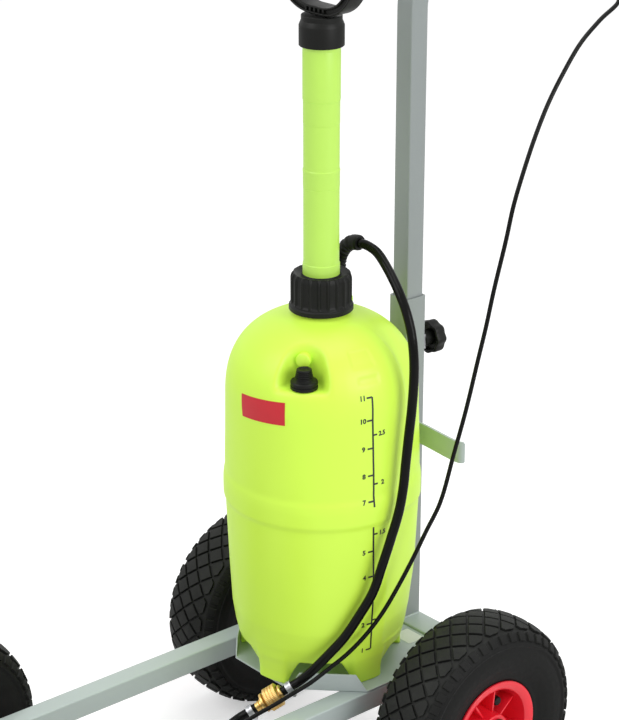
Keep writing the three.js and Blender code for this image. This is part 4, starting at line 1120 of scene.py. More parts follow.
class SPRAYER_OT_tank(bpy.types.Operator):
    """Tank shell with its feet, ridge, pocket and shallow marks, its scale, and its red label"""

    bl_idname = "sprayer.tank"
    bl_label = "Tank"

    columns: IntProperty(name="Columns", description="Faces round the tank", default=288, min=60)
    row_height: length_property("Row height", "Height of a face of the wall", 2.4 * MM)

    def execute(self, context):
        self.shell(context.scene.cart_sizes)
        self.scale()
        self.label()
        return {"FINISHED"}

    def outline(self):
        """From the middle of the underside, over the wall and the dome, into the neck."""
        side = [Vector((radius, height)) * MM for height, radius in TANK_SIDE]
        dome = []
        for index in range(1, 60):
            angle = math.pi / 2 * index / 60
            radius = DOME_RADIUS * math.cos(angle) ** (2 / DOME_POWER)
            height = SHOULDER + DOME_HEIGHT * math.sin(angle) ** (2 / DOME_POWER)
            if radius > 36:
                dome.append(Vector((radius, height)) * MM)
        inner = evenly(mm((0.5, 0), (34, 0)), 4 * MM)
        outer = evenly([Vector((34 * MM, 0)), side[0]], 1.8 * MM)
        feet = evenly(side[:5], 1.5 * MM)
        top = [*side[4:], *dome, *mm((33, 430.9), (31, 432.5))]
        wall = eased([*feet, *evenly(top, self.row_height)[1:]], 1)
        rim = mm((31, 432.5), (31, 466.8), (30.2, 467.6), (28.2, 467.6), (27.5, 466.8), (27.5, 440))
        return [*inner[:-1], *outer, *wall[1:], *evenly(rim, 5 * MM)[1:], Vector((0.5, 440)) * MM]

    def shell(self, sizes):
        outline = self.outline()
        bm = lathed([Vector((p.x, p.y + TANK_FOOT)) for p in outline], self.columns)
        self.pocket(bm, outline)
        feet, edges = [], []
        for vert in bm.verts:
            x, y, height = vert.co.x / MM, vert.co.y / MM, (vert.co.z - TANK_FOOT) / MM
            reach = foot_bulge(math.degrees(math.atan2(y, x)), height) * smooth_step(62, 88, math.hypot(x, y))
            if height < 90 and reach:
                vert.co.xy *= 1 + reach / math.hypot(x, y)
                x, y = vert.co.x / MM, vert.co.y / MM
            if height < ARCH_TOP:
                vert.co.z = TANK_FOOT + soft_max(height, arch_height(x, y), sizes.foot_corner / MM) * MM
                feet.append(vert)
                continue
            azimuth = math.degrees(math.atan2(y, x))
            push = crease_depth(azimuth, height) + self.marks(azimuth, height) - fullness(azimuth, height)
            if push and math.hypot(x, y) > 60:
                vert.co.xy *= 1 - push / math.hypot(x, y)
            if from_pocket(azimuth) < 28 and 340 < height < 432:
                edges.append(vert)
        axes = {f"use_axis_{axis}": True for axis in "xyz"}
        for verts in (feet, *[edges] * 5):
            bmesh.ops.smooth_vert(bm, verts=verts, factor=0.5, **axes)
        boss = lathed(mm((0, -14), (8.4, -14), (8.4, 5), (8, 6), (7.2, 6.5), (0, 6.6)), 48)
        turn = Matrix.Rotation(math.radians(BOSS_TURN), 4, "Z") @ Matrix.Translation((71 * MM, 0, 566 * MM))
        moved(boss, turn @ ALONG_X)
        pad = lathed(mm((0, 575), (15.6, 575), (15.6, 597), (15, 598.6), (14, 599.2), (0, 599.2)), 48)
        moved(pad, Matrix.Translation((-21 * MM, 45.7 * MM, 0)))
        whole = moved(joined(bm, boss, pad), Matrix.Translation(TANK_AXIS))
        piece("tank_body", whole, "tank_plastic", "frame", "tank_shell", crease=60)

    def marks(self, azimuth, height):
        """Shallow recesses on the shoulder, in millimetres."""
        square = min((azimuth + 20.2) * 1.7, (-0.8 - azimuth) * 1.7, height - 392.6, 409.8 - height)
        bar = min((azimuth + 17.2) * 1.8, (-1.2 - azimuth) * 1.8, height - 375.5, 385 - height)
        return 1.5 * smooth_step(0, 2.6, square) + 1.4 * smooth_step(0, 2.4, bar)

    def pocket(self, bm, outline):
        """Lays each column of the wall into the pocket that the relief valve stands in."""
        start = next(i for i, p in enumerate(outline) if p.y > 340 * MM)
        end = next(i for i, p in enumerate(outline) if i > start and p.x < 58 * MM)
        path = outline[start:end + 1]
        run = distances(path)
        shares = {(round(p.x, 6), round(p.y, 6)): length / run[-1] for p, length in zip(path, run)}
        floor = POCKET_FLOOR * MM
        columns = {}
        for vert in bm.verts:
            radius = vert.co.xy.length
            share = shares.get((round(radius, 6), round(vert.co.z - TANK_FOOT, 6)))
            if share is None:
                rise = vert.co.z - TANK_FOOT
                near = (part for (r, z), part in shares.items() if abs(r - radius) + abs(z - rise) < 4e-6)
                share = next(near, None)
            if share is None:
                continue
            azimuth = math.degrees(math.atan2(vert.co.y, vert.co.x))
            wall = pocket_wall(azimuth) * MM
            if wall > (NO_POCKET - 1) * MM:
                continue
            key = round(azimuth, 3)
            if key not in columns:
                columns[key] = self.into_pocket(path, wall, floor)
            line, reach = columns[key]
            target = share * reach[-1]
            index = next((i for i, length in enumerate(reach) if length >= target), len(reach) - 1)
            index = max(index, 1)
            before, span = reach[index - 1], reach[index] - reach[index - 1]
            point = line[index - 1].lerp(line[index], clamp((target - before) / span if span else 0))
            vert.co.xy *= point.x / radius
            vert.co.z = TANK_FOOT + point.y

    def into_pocket(self, path, wall, floor):
        """The wall's outline in one direction, led in over the pocket's floor and up its back."""
        below = [p for p in path if p.y <= floor]
        above = [p for p in path if p.y > floor and p.x <= wall]
        corner = Vector((min(wall, below[-1].x), floor))
        line = [*below, Vector((below[-1].x, floor)), corner]
        if above:
            line += [Vector((corner.x, above[0].y)), *above]
        line = eased(evenly(line, 1 * MM), 8)
        return line, distances(line)

    def strip(self, points, width):
        """A printed line on the wall, through places given as degrees round it and millimetres up it."""
        bm = bmesh.new()
        cuts = []
        for (first, low_end), (second, high_end) in zip(points, points[1:]):
            steps = max(1, round(max(abs(high_end - low_end) / 6, abs(second - first) / 2)))
            across, up = (second - first) / steps, (high_end - low_end) / steps
            cuts += [(first + across * i, low_end + up * i) for i in range(steps)]
        cuts.append(points[-1])
        bmesh.ops.create_grid(bm, x_segments=len(cuts) - 1, y_segments=1, size=0.5)
        (first, low_end), (second, high_end) = points[0], points[-1]
        upright = abs(high_end - low_end) > 1.9 * abs(second - first)
        for vert in bm.verts:
            azimuth, height = cuts[round((vert.co.x + 0.5) * (len(cuts) - 1))]
            side = vert.co.y * width
            turn, rise = (side / PER_DEGREE, 0) if upright else (0, side)
            vert.co = on_tank(azimuth + turn, height + rise)
        return self.outwards(bm)

    def outwards(self, bm):
        for face in bm.faces:
            face.normal_update()
            outward = face.calc_center_median() - TANK_AXIS
            if face.normal.xy.dot(outward.xy) < 0:
                face.normal_flip()
        return bm

    def figure(self, text, azimuth, height, size):
        """A number on the wall, its middle at the place given."""
        font = bpy.data.curves.new("figure", "FONT")
        font.body = text
        font.size = size * MM
        font.align_x = font.align_y = "CENTER"
        font.resolution_u = 3
        font.offset = 0.34 * MM
        holder = bpy.data.objects.new("figure", font)
        mesh = bpy.data.meshes.new_from_object(holder)
        bm = bmesh.new()
        bm.from_mesh(mesh)
        bpy.data.objects.remove(holder)
        bpy.data.curves.remove(font)
        bpy.data.meshes.remove(mesh)
        for vert in bm.verts:
            vert.co = on_tank(azimuth + vert.co.x / MM / PER_DEGREE, height + vert.co.y / MM)
        return self.outwards(bm)

    def scale(self):
        """Litres on the left of the line and gallons on its right, as bare figures."""
        upper = [(-8.6, 230.6), (-8.7, 237.9), (-8.7, 269.3), (-9.0, 302.1), (-9.4, 335.9), (-9.1, 362.4)]
        lower = [(-5.8, 44), (-6.8, 79.4), (-6.5, 109.7), (-7.0, 141.4), (-7.8, 174), (-8.4, 205.6)]
        line = sorted((height, azimuth) for azimuth, height in (*upper, *lower))
        parts = [self.strip(upper, 2.3), self.strip(lower, 2.3)]
        litres = {
            "11": 362.4, "10": 335.9, "9": 302.1, "8": 269.3, "7": 237.9, "5": 174, "4": 141.4, "3": 109.7,
            "2": 79.4, "1": 44,
        }
        gallons = {"2.5": 317.5, "2": 258, "1.5": 195.3, "1": 137.3, ".5": 83.2}
        for figures, size, ends, aside in ((litres, 8.0, (-3.8, 0), -6.4), (gallons, 7.6, (0, 2.9), 6.4)):
            for text, height in figures.items():
                azimuth = stepped(line, height)
                parts.append(self.strip([(azimuth + end, height) for end in ends], 2.1))
                parts.append(self.figure(text, azimuth + aside, height, size))
        piece("tank_scale", joined(*parts), "black_print", "frame")

    def label(self):
        """A bare red label, a quarter of a millimetre thick."""
        bm = bmesh.new()
        bmesh.ops.create_grid(bm, x_segments=28, y_segments=14, size=0.5)
        for vert in bm.verts:
            across, up = vert.co.x + 0.5, vert.co.y + 0.5
            bottom = Vector((-93.6, 329.2)).lerp(Vector((-62.0, 332.3)), across)
            top = Vector((-95.2, 355.2)).lerp(Vector((-62.3, 358.9)), across)
            vert.co = on_tank(*bottom.lerp(top, up), 0.1)
        self.outwards(bm)
        bmesh.ops.solidify(bm, geom=bm.faces[:], thickness=-0.25 * MM)
        bmesh.ops.recalc_face_normals(bm, faces=bm.faces)
        piece("tank_label", bm, "red_label", "frame")


# ------------------------------------------------------------------ pump, cap and outlet


class SPRAYER_OT_pump(bpy.types.Operator):
    """Pump cylinder, cap nut, collar, rod and handle"""

    bl_idname = "sprayer.pump"
    bl_label = "Pump"

    rib_depth: length_property("Cap rib depth", "How deep the cap's flutes are", 2.1 * MM)

    def execute(self, context):
        self.cylinder()
        self.cap(context.scene.cart_sizes.cap_ribs)
        self.collar()
        self.handle()
        return {"FINISHED"}

    def on_axis(self, bm):
        return moved(bm, at(TANK_AXIS))

    def cylinder(self):
        top, bottom = high("pump_cylinder").z, low("pump_cylinder").z
        start = 639.2 * MM
        span = top - start

        def band(share, radius):
            return Vector((radius * MM, start + span * share))

        outline = [
            Vector((4 * MM, bottom)), Vector((20.4 * MM, bottom)), Vector((21 * MM, bottom + 0.6 * MM)),
            *mm((21, 635.4), (30.2, 635.6), (30.5, 636), (30.5, 638.8), (30.2, 639.2), (21, 639.4)),
            band(0.055, 21), band(0.0575, 20.9), band(0.06, 20.3), band(0.063, 20.2), band(0.353, 20.2),
            band(0.365, 20.3), band(0.3664, 20.1), band(0.3679, 20.4), band(0.374, 20.55),
            band(0.4287, 20.6), band(0.4337, 20.8), band(0.4382, 20.8), band(0.4417, 20.2),
            band(0.4447, 20.15), band(0.6167, 20.15), band(0.6202, 20.1), band(0.6217, 20.35),
            band(0.6267, 20.4), band(0.705, 20.45), band(0.7125, 20.6), band(0.7135, 20.45),
            band(0.715, 20.9), band(0.724, 21), band(0.905, 21), band(0.9085, 20.7), band(0.912, 21),
            Vector((21 * MM, top)), Vector((18.3 * MM, top)), Vector((18.3 * MM, bottom + 2.7 * MM)),
            Vector((4 * MM, bottom + 2.7 * MM)),
        ]
        tube = self.on_axis(lathed(outline, 96, loop=True))
        piece("pump_tube", tube, "pump_plastic", "frame", "pump_cylinder", crease=20)

    def cap(self, ribs):
        """Narrow ribs with wide hollow flutes between them, above a plain ring."""
        outline = mm(
            (21.5, 643.4), (21.5, 639.6), (31.4, 639.6), (31.4, 601.2), (36, 601), (36.6, 601.6),
            (36.6, 606.2), (36, 607.2), (34.9, 607.9), (34.8, 609), (34.8, 610.5), (34.8, 612), (34.8, 624),
            (34.8, 636.5), (34.6, 639), (34, 641.4), (32.8, 643.6), (31.6, 644.5), (30.4, 644.6), (29, 644),
            (26, 642.6), (22.6, 641.6), (22, 642.2),
        )
        bm = lathed(outline, ribs * 20, loop=True)

        def depth_at(angle, radius, height):
            aside = abs(angle * ribs / math.tau % 1 - 0.5) * 2
            flute = 0.75 * smooth_step(0.12, 0.4, aside) + 0.25 * math.sin(clamp(aside) * math.pi / 2)
            start = smooth_step(608.5 * MM, 611.5 * MM, height) * smooth_step(31 * MM, 33.5 * MM, radius)
            return self.rib_depth * flute * start

        pressed(bm, depth_at)
        piece("cap_body", self.on_axis(bm), "black_plastic", "tank_cap", "cap_nut", crease=28)

    def collar(self):
        """The collar, and the rod and the piston that slide inside it."""
        collar = lathed(mm(
            (6.3, 925.3), (21.5, 925.3), (21.5, 903.3), (24.4, 903.3), (25, 903.9), (25, 925.6),
            (24.8, 926.4), (23, 930.8), (22.6, 931.4), (22.6, 936.4), (22, 937), (6.3, 937),
        ), 96, loop=True)
        piece("collar_body", self.on_axis(collar), "black_plastic", "frame", "pump_collar", crease=28)
        rod = lathed(mm((0, 547.3), (5.6, 547.3), (6, 547.8), (6, 945.8), (5.6, 946.3), (0, 946.3)), 32)
        piece("rod_finished", self.on_axis(rod), "zinc_steel", "plunger", "pump_rod")
        piston = lathed(mm(
            (0, 527), (16.6, 527), (17.6, 528), *grooves(17.6, 15.6, (531,), 1, 4), (17.6, 540),
            (15.6, 541), (15.6, 544), (17.2, 545), (16.6, 547), (0, 547),
        ), 48)
        piece("piston_finished", self.on_axis(piston), "black_plastic", "plunger", "pump_piston")

    def half_outline(self, inset):
        """The right half of the handle's outline, seen face on, from the bottom to the top."""
        wide, tall = 63 - inset, 78

        def bend(start, control, end, steps):
            shares = [step / steps for step in range(1, steps + 1)]
            return [start.lerp(control, t).lerp(control.lerp(end, t), t) for t in shares]

        line = [Vector((12, inset * 0.75))]
        top, corner = tall - inset, 20 - inset / 2
        for control, end, steps in (
            ((wide * 0.75, inset * 0.75 + 2), (wide - 2, tall * 0.42), 14),
            ((wide, tall * 0.5), (wide, top - corner), 6),
            ((wide, top), (wide - corner, top), 8),
        ):
            line += bend(line[-1], Vector(control), Vector(end), steps)
        return line

    def handle(self):
        """A flat D with a hollow in each face, and ribs across the hollows at its bottom and its top."""
        half_depth = 11 * MM
        bm = bmesh.new()
        loops = []
        for inset in (0, 12):
            half = self.half_outline(inset)
            whole = [*half, *[Vector((-p.x, p.y)) for p in reversed(half)]]
            verts = [bm.verts.new((p.x * MM, 0, p.y * MM)) for p in whole]
            loops += [bm.edges.new(pair) for pair in zip(verts, [*verts[1:], verts[0]])]
        pushed(bm, bmesh.ops.bridge_loops(bm, edges=loops)["faces"], (0, 2 * half_depth, 0))
        bmesh.ops.translate(bm, vec=(0, -half_depth, 0), verts=bm.verts)
        bmesh.ops.recalc_face_normals(bm, faces=bm.faces)
        bm.normal_update()
        for side in (-1, 1):
            flat = [face for face in bm.faces if face.normal.y * side > 0.9]
            for thickness, depth in ((2.2 * MM, 0), (0.5 * MM, -2.6 * MM)):
                bmesh.ops.inset_region(bm, faces=flat, thickness=thickness, depth=depth, use_even_offset=True)
        rims = [
            edge for edge in sharp_edges(bm, 60) if abs(abs(edge.verts[0].co.y) - half_depth) < 0.1 * MM
        ]
        soften(bm, rims, 0.9 * MM, 3)
        ribs = bmesh.new()
        bottom = [((index * 7, 4.7 + 0.3 * index * index), (3, 6)) for index in range(-2, 3)]
        top = [((index * 11, 72), (1.8, 7.8)) for index in range(-3, 4)]
        for side in (-1, 1):
            for (x, z), (width, tall) in (*bottom, *top):
                centre = Vector((x, side * 9.7, z)) * MM
                add_block(ribs, Vector((width, 2.4, tall)) * MM, centre, 0.4 * MM)
        socket = lathed(mm((6.3, -0.2), (9.4, -0.2), (9.4, 0.4), (6.3, 0.4)), 32, loop=True)
        up = Matrix.Translation((0, 0, low("pump_handle").z))
        whole = self.on_axis(moved(joined(bm, ribs, socket), up))
        piece("handle_body", whole, "black_plastic", "plunger", "pump_handle", crease=30)


class SPRAYER_OT_outlet(bpy.types.Operator):
    """Outlet fitting, ribbed bend protector and dip tube"""

    bl_idname = "sprayer.outlet"
    bl_label = "Outlet"

    ribs: IntProperty(name="Ribs", description="Ribs along the protector", default=11, min=3)

    def execute(self, context):
        fitting = lathed(mm(
            (0, 575.3), (6, 575.3), (6, 599.6), (12.4, 599.6), (13, 600.2), (13, 604.8), (12.4, 605.6),
            (10.4, 606.4), (10, 607.4), (10, 614.6), (9.2, 615.6), (0, 615.6),
        ), 72)
        knurled(fitting, 12, 0.9 * MM, 600 * MM, 605 * MM)
        where = at(middle("outlet_fitting"))
        piece("outlet_body", moved(fitting, where), "black_plastic", "frame", "outlet_fitting", crease=28)
        line = evenly(route(PROTECTOR_POINTS, 8), 0.55 * MM)
        total = len(line) - 1
        radii = [self.radius(index / total) for index in range(total + 1)]
        protector = tube_along(line, radii, 40)
        piece("protector_ribbed", protector, "black_plastic", "frame", "bend_protector", crease=50)
        dip = lathed(mm((3, 209.7), (5, 209.7), (5, 575), (3, 575)), 24, loop=True)
        piece("dip_tube_finished", moved(dip, where), "natural_nylon", "frame", "dip_tube")
        return {"FINISHED"}

    def radius(self, share):
        """The protector's radius along it: ribs that grow, then a plain cuff where the hose comes out."""
        cuff = 0.87
        if share > cuff:
            return (9.0 - 0.8 * smooth_step(0.8, 1, (share - cuff) / (1 - cuff))) * MM
        along = share / cuff
        wave = 0.5 - 0.5 * math.cos(math.tau * self.ribs * along * (1.4 - 0.4 * along))
        return (6.0 + 0.7 * along + (0.9 + 1.3 * along) * smooth_step(0.25, 0.75, wave)) * MM


class SPRAYER_OT_relief_valve(bpy.types.Operator):
    """Relief valve in the tank's pocket: its flange, neck and lifting knob"""

    bl_idname = "sprayer.relief_valve"
    bl_label = "Relief valve"

    rings: IntProperty(name="Rings", description="Grip rings on the lifting knob", default=4, min=1)

    def execute(self, context):
        where = at(middle("relief_valve_body"))
        seat = 538.5  # the height of the pocket's floor
        body = lathed(mm(
            (0, seat - 16), (7, seat - 16), (7, seat), (14.8, seat), (15.4, seat + 0.6), (15.4, seat + 3.4),
            (14.4, seat + 4), (14.4, seat + 4.8), (15.3, seat + 5.4), (15.3, seat + 8.2),
            (14.6, seat + 9.2), (12.2, seat + 9.8), (10.6, seat + 10.2), (9.6, seat + 11),
            (9.4, seat + 11.8), (0, seat + 11.9),
        ), 96)
        piece("relief_flange", moved(body, where), "black_plastic", "frame", "relief_valve_body", crease=28)
        start, end = low("relief_valve_knob").z / MM, high("relief_valve_knob").z / MM
        outline = [(0, start), (9.8, start)]
        step = (end - start - 2.4) / self.rings
        for index in range(self.rings):
            height, radius = start + 0.4 + step * index, 10.2 - 0.45 * index
            outline += [(radius, height), (radius, height + step * 0.58)]
            outline += [(radius - 0.9, height + step * 0.7), (radius - 0.9, height + step * 0.9)]
        top = ((8.6, 1.8), (8.4, 0.5), (7.8, 0), (6.4, 0), (5, 0.9), (0, 1.4))
        outline += [(radius, end - below) for radius, below in top]
        knob = moved(lathed(mm(*outline), 72), where)
        piece("relief_knob_ringed", knob, "black_plastic", "relief_knob", "relief_valve_knob", crease=28)
        return {"FINISHED"}


# ------------------------------------------------------------------ frame


def square_tube(low_corner, high_corner, axis, wall, corner):
    """A square tube that fills a box, open at both ends."""
    turn = {"X": ALONG_X, "Y": ALONG_Y, "Z": Matrix.Identity(4)}[axis]
    width, depth, length = (abs(part) for part in turn.inverted() @ (high_corner - low_corner))
    bm = tube_section(width, depth, wall, corner)
    pushed(bm, bm.faces[:], (0, 0, length))
    bmesh.ops.translate(bm, vec=(0, 0, -length / 2), verts=bm.verts)
    bmesh.ops.recalc_face_normals(bm, faces=bm.faces)
    return moved(bm, Matrix.Translation((low_corner + high_corner) / 2) @ turn)


def tube_section(width, depth, wall, corner):
    """The ring of faces that a square tube is pushed out of, flat on X and Y."""
    bm = bmesh.new()
    bmesh.ops.create_grid(bm, x_segments=1, y_segments=1, size=0.5)
    bmesh.ops.scale(bm, vec=(width, depth, 1), verts=bm.verts)
    soften(bm, bm.verts[:], corner, 5, "VERTICES")
    inner = bm.faces[:]
    bmesh.ops.inset_region(bm, faces=inner, thickness=wall, depth=0, use_boundary=True, use_even_offset=True)
    bmesh.ops.delete(bm, geom=inner, context="FACES")
    return bm


def weld_bead(points, radius, seed):
    """A welding bead: a rod with the ripples of its drops."""
    line = evenly(points, 0.8 * MM)
    radii = [
        radius * (0.86 + 0.14 * math.sin(index * 1.15 + seed) + 0.05 * math.sin(index * 0.31 + 2 * seed))
        for index in range(len(line))
    ]
    return tube_along(line, radii, 10)


class SPRAYER_OT_frame(bpy.types.Operator):
    """Side tubes, beam, cross tube, tray, sleeve, backrest and their welds"""

    bl_idname = "sprayer.frame"
    bl_label = "Frame"

    tube_wall: length_property("Tube wall", "Thickness of a square tube's wall", 2 * MM)
    weld: length_property("Weld", "Radius of a weld bead", 1.9 * MM)

    def execute(self, context):
        sizes = context.scene.cart_sizes
        tubes = {
            "side_tube_left": "Y", "side_tube_right": "Y", "front_cross_tube": "X", "rear_cross_beam": "X",
            "post_sleeve": "Z",
        }
        for node, axis in tubes.items():
            tube = square_tube(*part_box(node), axis, self.tube_wall, sizes.tube_corner)
            # The sleeve takes the darker copy of the frame paint, which is painted shade.
            paint = "post_paint" if node == "post_sleeve" else "frame_paint"
            piece(f"{node}_rounded", tube, paint, "frame", node, crease=30)
        self.backrest()
        softened("tray", "frame_paint", sizes.sheet_corner)
        softened("clamp_nut", "zinc_steel", sizes.sheet_corner)
        for node in ("tube_plug_left", "tube_plug_right"):
            softened(node, "black_plastic", 1.2 * MM, 3)
        self.welds()
        self.sticker()
        return {"FINISHED"}

    def backrest(self):
        """A flat bar that bows towards the tank, its ends bent back and their corners rounded."""
        bar_low, bar_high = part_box("tank_backrest")
        thickness, radius = 3 * MM, 9.5 * MM
        straight, arc, bow = 110 * MM, math.radians(60), 5 * MM
        length, tall = straight + radius * arc, bar_high.z - bar_low.z
        bm = bmesh.new()
        bmesh.ops.create_grid(bm, x_segments=96, y_segments=1, size=0.5)
        bmesh.ops.scale(bm, vec=(2 * length, thickness, 1), verts=bm.verts)
        pushed(bm, bm.faces[:], (0, 0, tall))
        bmesh.ops.recalc_face_normals(bm, faces=bm.faces)
        corners = []
        for edge in bm.edges:
            first, second = (vert.co for vert in edge.verts)
            if (first - second).xz.length < 1e-6 and abs(abs(first.x) - length) < 1e-6:
                corners.append(edge)
        soften(bm, corners, 3 * MM, 5)
        for vert in bm.verts:
            along, sign = abs(vert.co.x), math.copysign(1, vert.co.x)
            turn = max(along - straight, 0) / radius
            inner = radius - vert.co.y
            across = min(along, straight) + inner * math.sin(turn)
            back = radius - inner * math.cos(turn) - bow * smooth_step(40 * MM, straight, along)
            vert.co = Vector((sign * across, bar_low.y + thickness / 2 + back, bar_low.z + vert.co.z))
        piece("backrest_bar", bm, "frame_paint", "frame", "tank_backrest")

    def welds(self):
        beads = []

        def bead(start, end, seed):
            beads.append(weld_bead([Vector(start), Vector(end)], self.weld, seed))

        sleeve_low, sleeve_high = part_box("post_sleeve")
        cross_low, cross_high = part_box("front_cross_tube")
        bar_low, bar_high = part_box("tank_backrest")
        clear = 2 * MM
        top = high("rear_cross_beam").z + 0.3 * MM
        for seed, x in enumerate((sleeve_low.x, sleeve_high.x)):
            bead((x, sleeve_low.y + clear, top), (x, sleeve_high.y - clear, top), seed)
        for side, name in ((-1, "left"), (1, "right")):
            tube_low, tube_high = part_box(f"side_tube_{name}")
            y, z = tube_high.y + 0.2 * MM, tube_high.z + 0.2 * MM
            bead((tube_low.x + 2.5 * MM, y, z), (tube_high.x - 2.5 * MM, y, z), 3 + side)
            x = tube_high.x if side < 0 else tube_low.x
            for y in (cross_low.y, cross_high.y):
                bead((x, y, cross_low.z + clear), (x, y, cross_high.z - clear), 6 + side)
            bead((x, cross_low.y + clear, cross_high.z), (x, cross_high.y - clear, cross_high.z), 9 + side)
        for x in (sleeve_low.x, sleeve_high.x):
            bead((x, sleeve_low.y, bar_low.z + clear), (x, sleeve_low.y, bar_high.z - clear), x)
        piece("frame_welds", joined(*beads), "frame_paint", "frame")

    def sticker(self):
        """A bare white label on the tray."""
        bm = bmesh.new()
        add_block(bm, (30 * MM, 24 * MM, 0.2 * MM), place(48, 108, 167.55))
        upright = [e for e in bm.edges if abs(e.verts[0].co.z - e.verts[1].co.z) > 0.1 * MM]
        soften(bm, upright, 2 * MM, 4)
        piece("tray_sticker", bm, "white_label", "frame")


# ------------------------------------------------------------------ post, handle bar, lever and clamp


class SPRAYER_OT_post(bpy.types.Operator):
    """Bent post, handle bar with grips, squeeze lever and clamp knob"""

    bl_idname = "sprayer.post"
    bl_label = "Post and handle"

    bend_radius: length_property("Bend radius", "Radius of the post's bend", 50 * MM)
    bend_height: length_property("Bend height", "Where the bend starts, above the ground", 925 * MM)
    lobes: IntProperty(name="Lobes", description="Lobes round the clamp knob", default=8, min=3)

    def execute(self, context):
        sizes = context.scene.cart_sizes
        self.post_tube(sizes.tube_corner)
        self.handle_bar()
        softened("lever_bracket", "black_plastic", 0.7 * MM, 2)
        softened("hand_lever", "black_plastic", 1.1 * MM, 3)
        self.knob()
        return {"FINISHED"}

    def post_tube(self, corner):
        lowest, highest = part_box("post_tube")
        width = highest.x - lowest.x
        centre_y = lowest.y + width / 2
        bm = tube_section(width, width, 2 * MM, corner)
        bmesh.ops.translate(bm, vec=(0, centre_y, lowest.z), verts=bm.verts)
        end = pushed(bm, bm.faces[:], (0, 0, self.bend_height - lowest.z))
        verts = list({vert for face in end for vert in face.verts})
        edges = list({edge for face in end for edge in face.edges})
        pivot = (0, centre_y + self.bend_radius, self.bend_height)
        bent = bmesh.ops.spin(
            bm, geom=[*verts, *edges, *end], cent=pivot, axis=(-1, 0, 0), dvec=(0, 0, 0), angle=math.pi / 2,
            steps=16, use_merge=False,
        )["geom_last"]
        last = [part for part in bent if isinstance(part, bmesh.types.BMFace)]
        pushed(bm, last, (0, highest.y - centre_y - self.bend_radius, 0))
        bmesh.ops.remove_doubles(bm, verts=bm.verts, dist=1e-6)
        bmesh.ops.recalc_face_normals(bm, faces=bm.faces)
        piece("post_bent", bm, "post_paint", "post", "post_tube", crease=30)

    def handle_bar(self):
        centre = middle("handle_bar")
        along = Matrix.Translation(centre) @ ALONG_X
        reach = high("handle_bar").x
        corners = ((10.5, -1), (12.5, -1), (12.5, 1), (10.5, 1))
        bar = lathed([Vector((radius * MM, sign * reach)) for radius, sign in corners], 56, loop=True)
        piece("bar_round", moved(bar, along), "post_paint", "post", "handle_bar")
        grip = lathed(mm(*self.grip_outline()), 64)
        for side, turn in (("right", 0), ("left", math.pi)):
            placed = moved(grip.copy(), along @ Matrix.Rotation(turn, 4, "X"))
            piece(f"grip_{side}_ribbed", placed, "black_plastic", "post", f"grip_{side}", crease=28)
        grip.free()
        turns = [index * math.tau / 40 for index in range(41)]
        weld = [centre + Vector((12.6 * math.sin(turn), -12.9, 12.6 * math.cos(turn))) * MM for turn in turns]
        piece("handle_weld", weld_bead(weld, 1.7 * MM, 5), "post_paint", "post")

    def grip_outline(self):
        """A flange at the inner end, fine ribs on a slightly swollen grip, and a round outer end."""
        outline = [(0, 200.3), (12.7, 200.3), (12.7, 85), (17.8, 85), (18.5, 85.7), (18.5, 87.4)]
        outline += [(17.6, 88.4), (15.6, 91)]
        start, end, steps = 93, 193.3, 150
        for index in range(steps):
            across = start + (end - start) * index / (steps - 1)
            ripple = 0.45 * smooth_step(-0.3, 0.6, math.cos(math.tau * (across - start) / 4.2))
            edge = smooth_step(start, start + 4, across) * (1 - smooth_step(190, end, across))
            outline.append((15.6 + ripple * edge + 0.4 * math.sin(math.pi * index / steps), across))
        return [*outline, (15.6, 196), (15, 200.5), (12.8, 202.8), (9, 203.3), (0, 203.3)]

    def knob(self):
        """A lobed knob on a short hub, hollow towards the sleeve."""
        start = low("clamp_knob")
        centre = middle("clamp_screw")
        bm = lathed(mm(
            (4.3, 0), (9.4, 0), (10, 0.6), (10, 14), (15.4, 14), (16, 10), (16.8, 9.2), (18.6, 9),
            (19.8, 9.6), (20.4, 11), (20.4, 15), (20.4, 20), (20, 22.2), (18.8, 24), (16.6, 25), (13.6, 25),
            (12.6, 24.4), (11.8, 23.6), (4.3, 23.4),
        ), 176, loop=True)

        def depth_at(angle, radius, _):
            wave = 0.5 - 0.5 * math.cos(self.lobes * angle)
            return 1.7 * MM * wave * smooth_step(13.6 * MM, 19 * MM, radius)

        pressed(bm, depth_at)
        where = Matrix.Translation((centre.x, start.y, centre.z)) @ ALONG_Y
        piece("lobed_knob", moved(bm, where), "black_plastic", "clamp", "clamp_knob")
        start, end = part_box("clamp_screw")
        length, pitch = (end - start).y / MM, 0.62
        screw = [(0, 0), (3.4, 0), (4, 0.8)]
        screw += [(4 - 0.35 * (turn % 2), 1.6 + turn * pitch) for turn in range(int((length - 3) / pitch))]
        thread = lathed(mm(*screw, (4, length - 0.6), (0, length - 0.6)), 32)
        moved(thread, Matrix.Translation((centre.x, start.y, centre.z)) @ ALONG_Y)
        piece("clamp_screw_threaded", thread, "zinc_steel", "clamp", "clamp_screw")


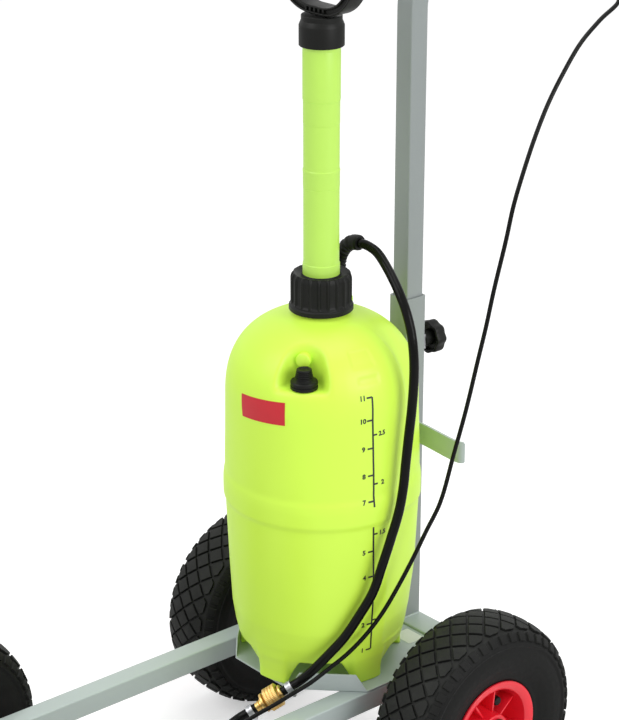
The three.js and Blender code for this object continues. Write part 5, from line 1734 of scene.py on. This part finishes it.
class SPRAYER_OT_spray_valve(bpy.types.Operator):
    """Spray valve at the front: bracket, body, lever and nozzle"""

    bl_idname = "sprayer.spray_valve"
    bl_label = "Spray valve"

    def execute(self, context):
        softened("valve_bracket", "frame_paint", 0.7 * MM)
        softened("spray_valve_lever", "zinc_steel", 0.6 * MM)
        where = at(middle("spray_nozzle"))
        barrel = lathed(mm(
            (0, 96), (10.6, 96), (11.4, 96.8), (11.4, 100), (12, 100.8), (12, 124), (11.4, 124.8),
            (11.4, 126), (12, 126.8), (12, 129), (11, 130), (4, 130), (4, 141.2), (3.2, 142), (0, 142),
        ), 56)
        inlet = lathed(mm(
            (0, 9), (7, 9), *grooves(7, 6.2, (15, 22), 0.6, 0.8), (7, 27.4), (6.4, 28), (0, 28)
        ), 40)
        moved(inlet, Matrix.Translation((0, 0, 110 * MM)) @ ALONG_Y)
        body = moved(joined(barrel, inlet), where)
        piece("valve_body_turned", body, "turned_brass", "frame", "spray_valve_body")
        nozzle = lathed(mm(
            (0, 80.9), (1, 79.7), (4.6, 79.7), (5.4, 80.4), (7.6, 83.4), (8, 84.4), (8, 94.9), (7.4, 95.7),
            (0, 95.7),
        ), 96)

        def depth_at(angle, radius, height):
            inside = radius > 7 * MM and height > 85 * MM
            return 0.5 * MM * smooth_step(0.2, 0.8, math.cos(16 * angle)) if inside else 0

        pressed(nozzle, depth_at)
        piece("nozzle_ribbed", moved(nozzle, where), "black_plastic", "frame", "spray_nozzle", crease=28)
        return {"FINISHED"}


# ------------------------------------------------------------------ panel and running order

STAGE_AND_PIECES = (
    SPRAYER_OT_stage, SPRAYER_OT_coupling, SPRAYER_OT_cords, SPRAYER_OT_wheels, SPRAYER_OT_tank,
    SPRAYER_OT_pump, SPRAYER_OT_outlet, SPRAYER_OT_relief_valve, SPRAYER_OT_frame, SPRAYER_OT_post,
    SPRAYER_OT_spray_valve,
)


class SPRAYER_PT_cart(bpy.types.Panel):
    """Sizes, colours and pieces of the cart"""

    bl_idname = "SPRAYER_PT_cart"
    bl_label = "Sprayer Cart"
    bl_space_type = "VIEW_3D"
    bl_region_type = "UI"
    bl_category = "Sprayer Cart"

    def draw(self, context):
        layout = self.layout
        for group in (context.scene.cart_sizes, context.scene.cart_colours):
            box = layout.box()
            for name in group.__annotations__:
                box.prop(group, name)
        for operator in STAGE_AND_PIECES:
            layout.operator(operator.bl_idname)


CLASSES = (CartSizes, CartColours, *STAGE_AND_PIECES, SPRAYER_PT_cart)


def register():
    for cls in CLASSES:
        bpy.utils.register_class(cls)
    bpy.types.Scene.cart_sizes = PointerProperty(type=CartSizes)
    bpy.types.Scene.cart_colours = PointerProperty(type=CartColours)


def unregister():
    del bpy.types.Scene.cart_colours
    del bpy.types.Scene.cart_sizes
    for cls in reversed(CLASSES):
        bpy.utils.unregister_class(cls)


def main():
    register()
    for operator in STAGE_AND_PIECES:
        group, name = operator.bl_idname.split(".")
        getattr(getattr(bpy.ops, group), name)()


if __name__ == "__main__":
    main()
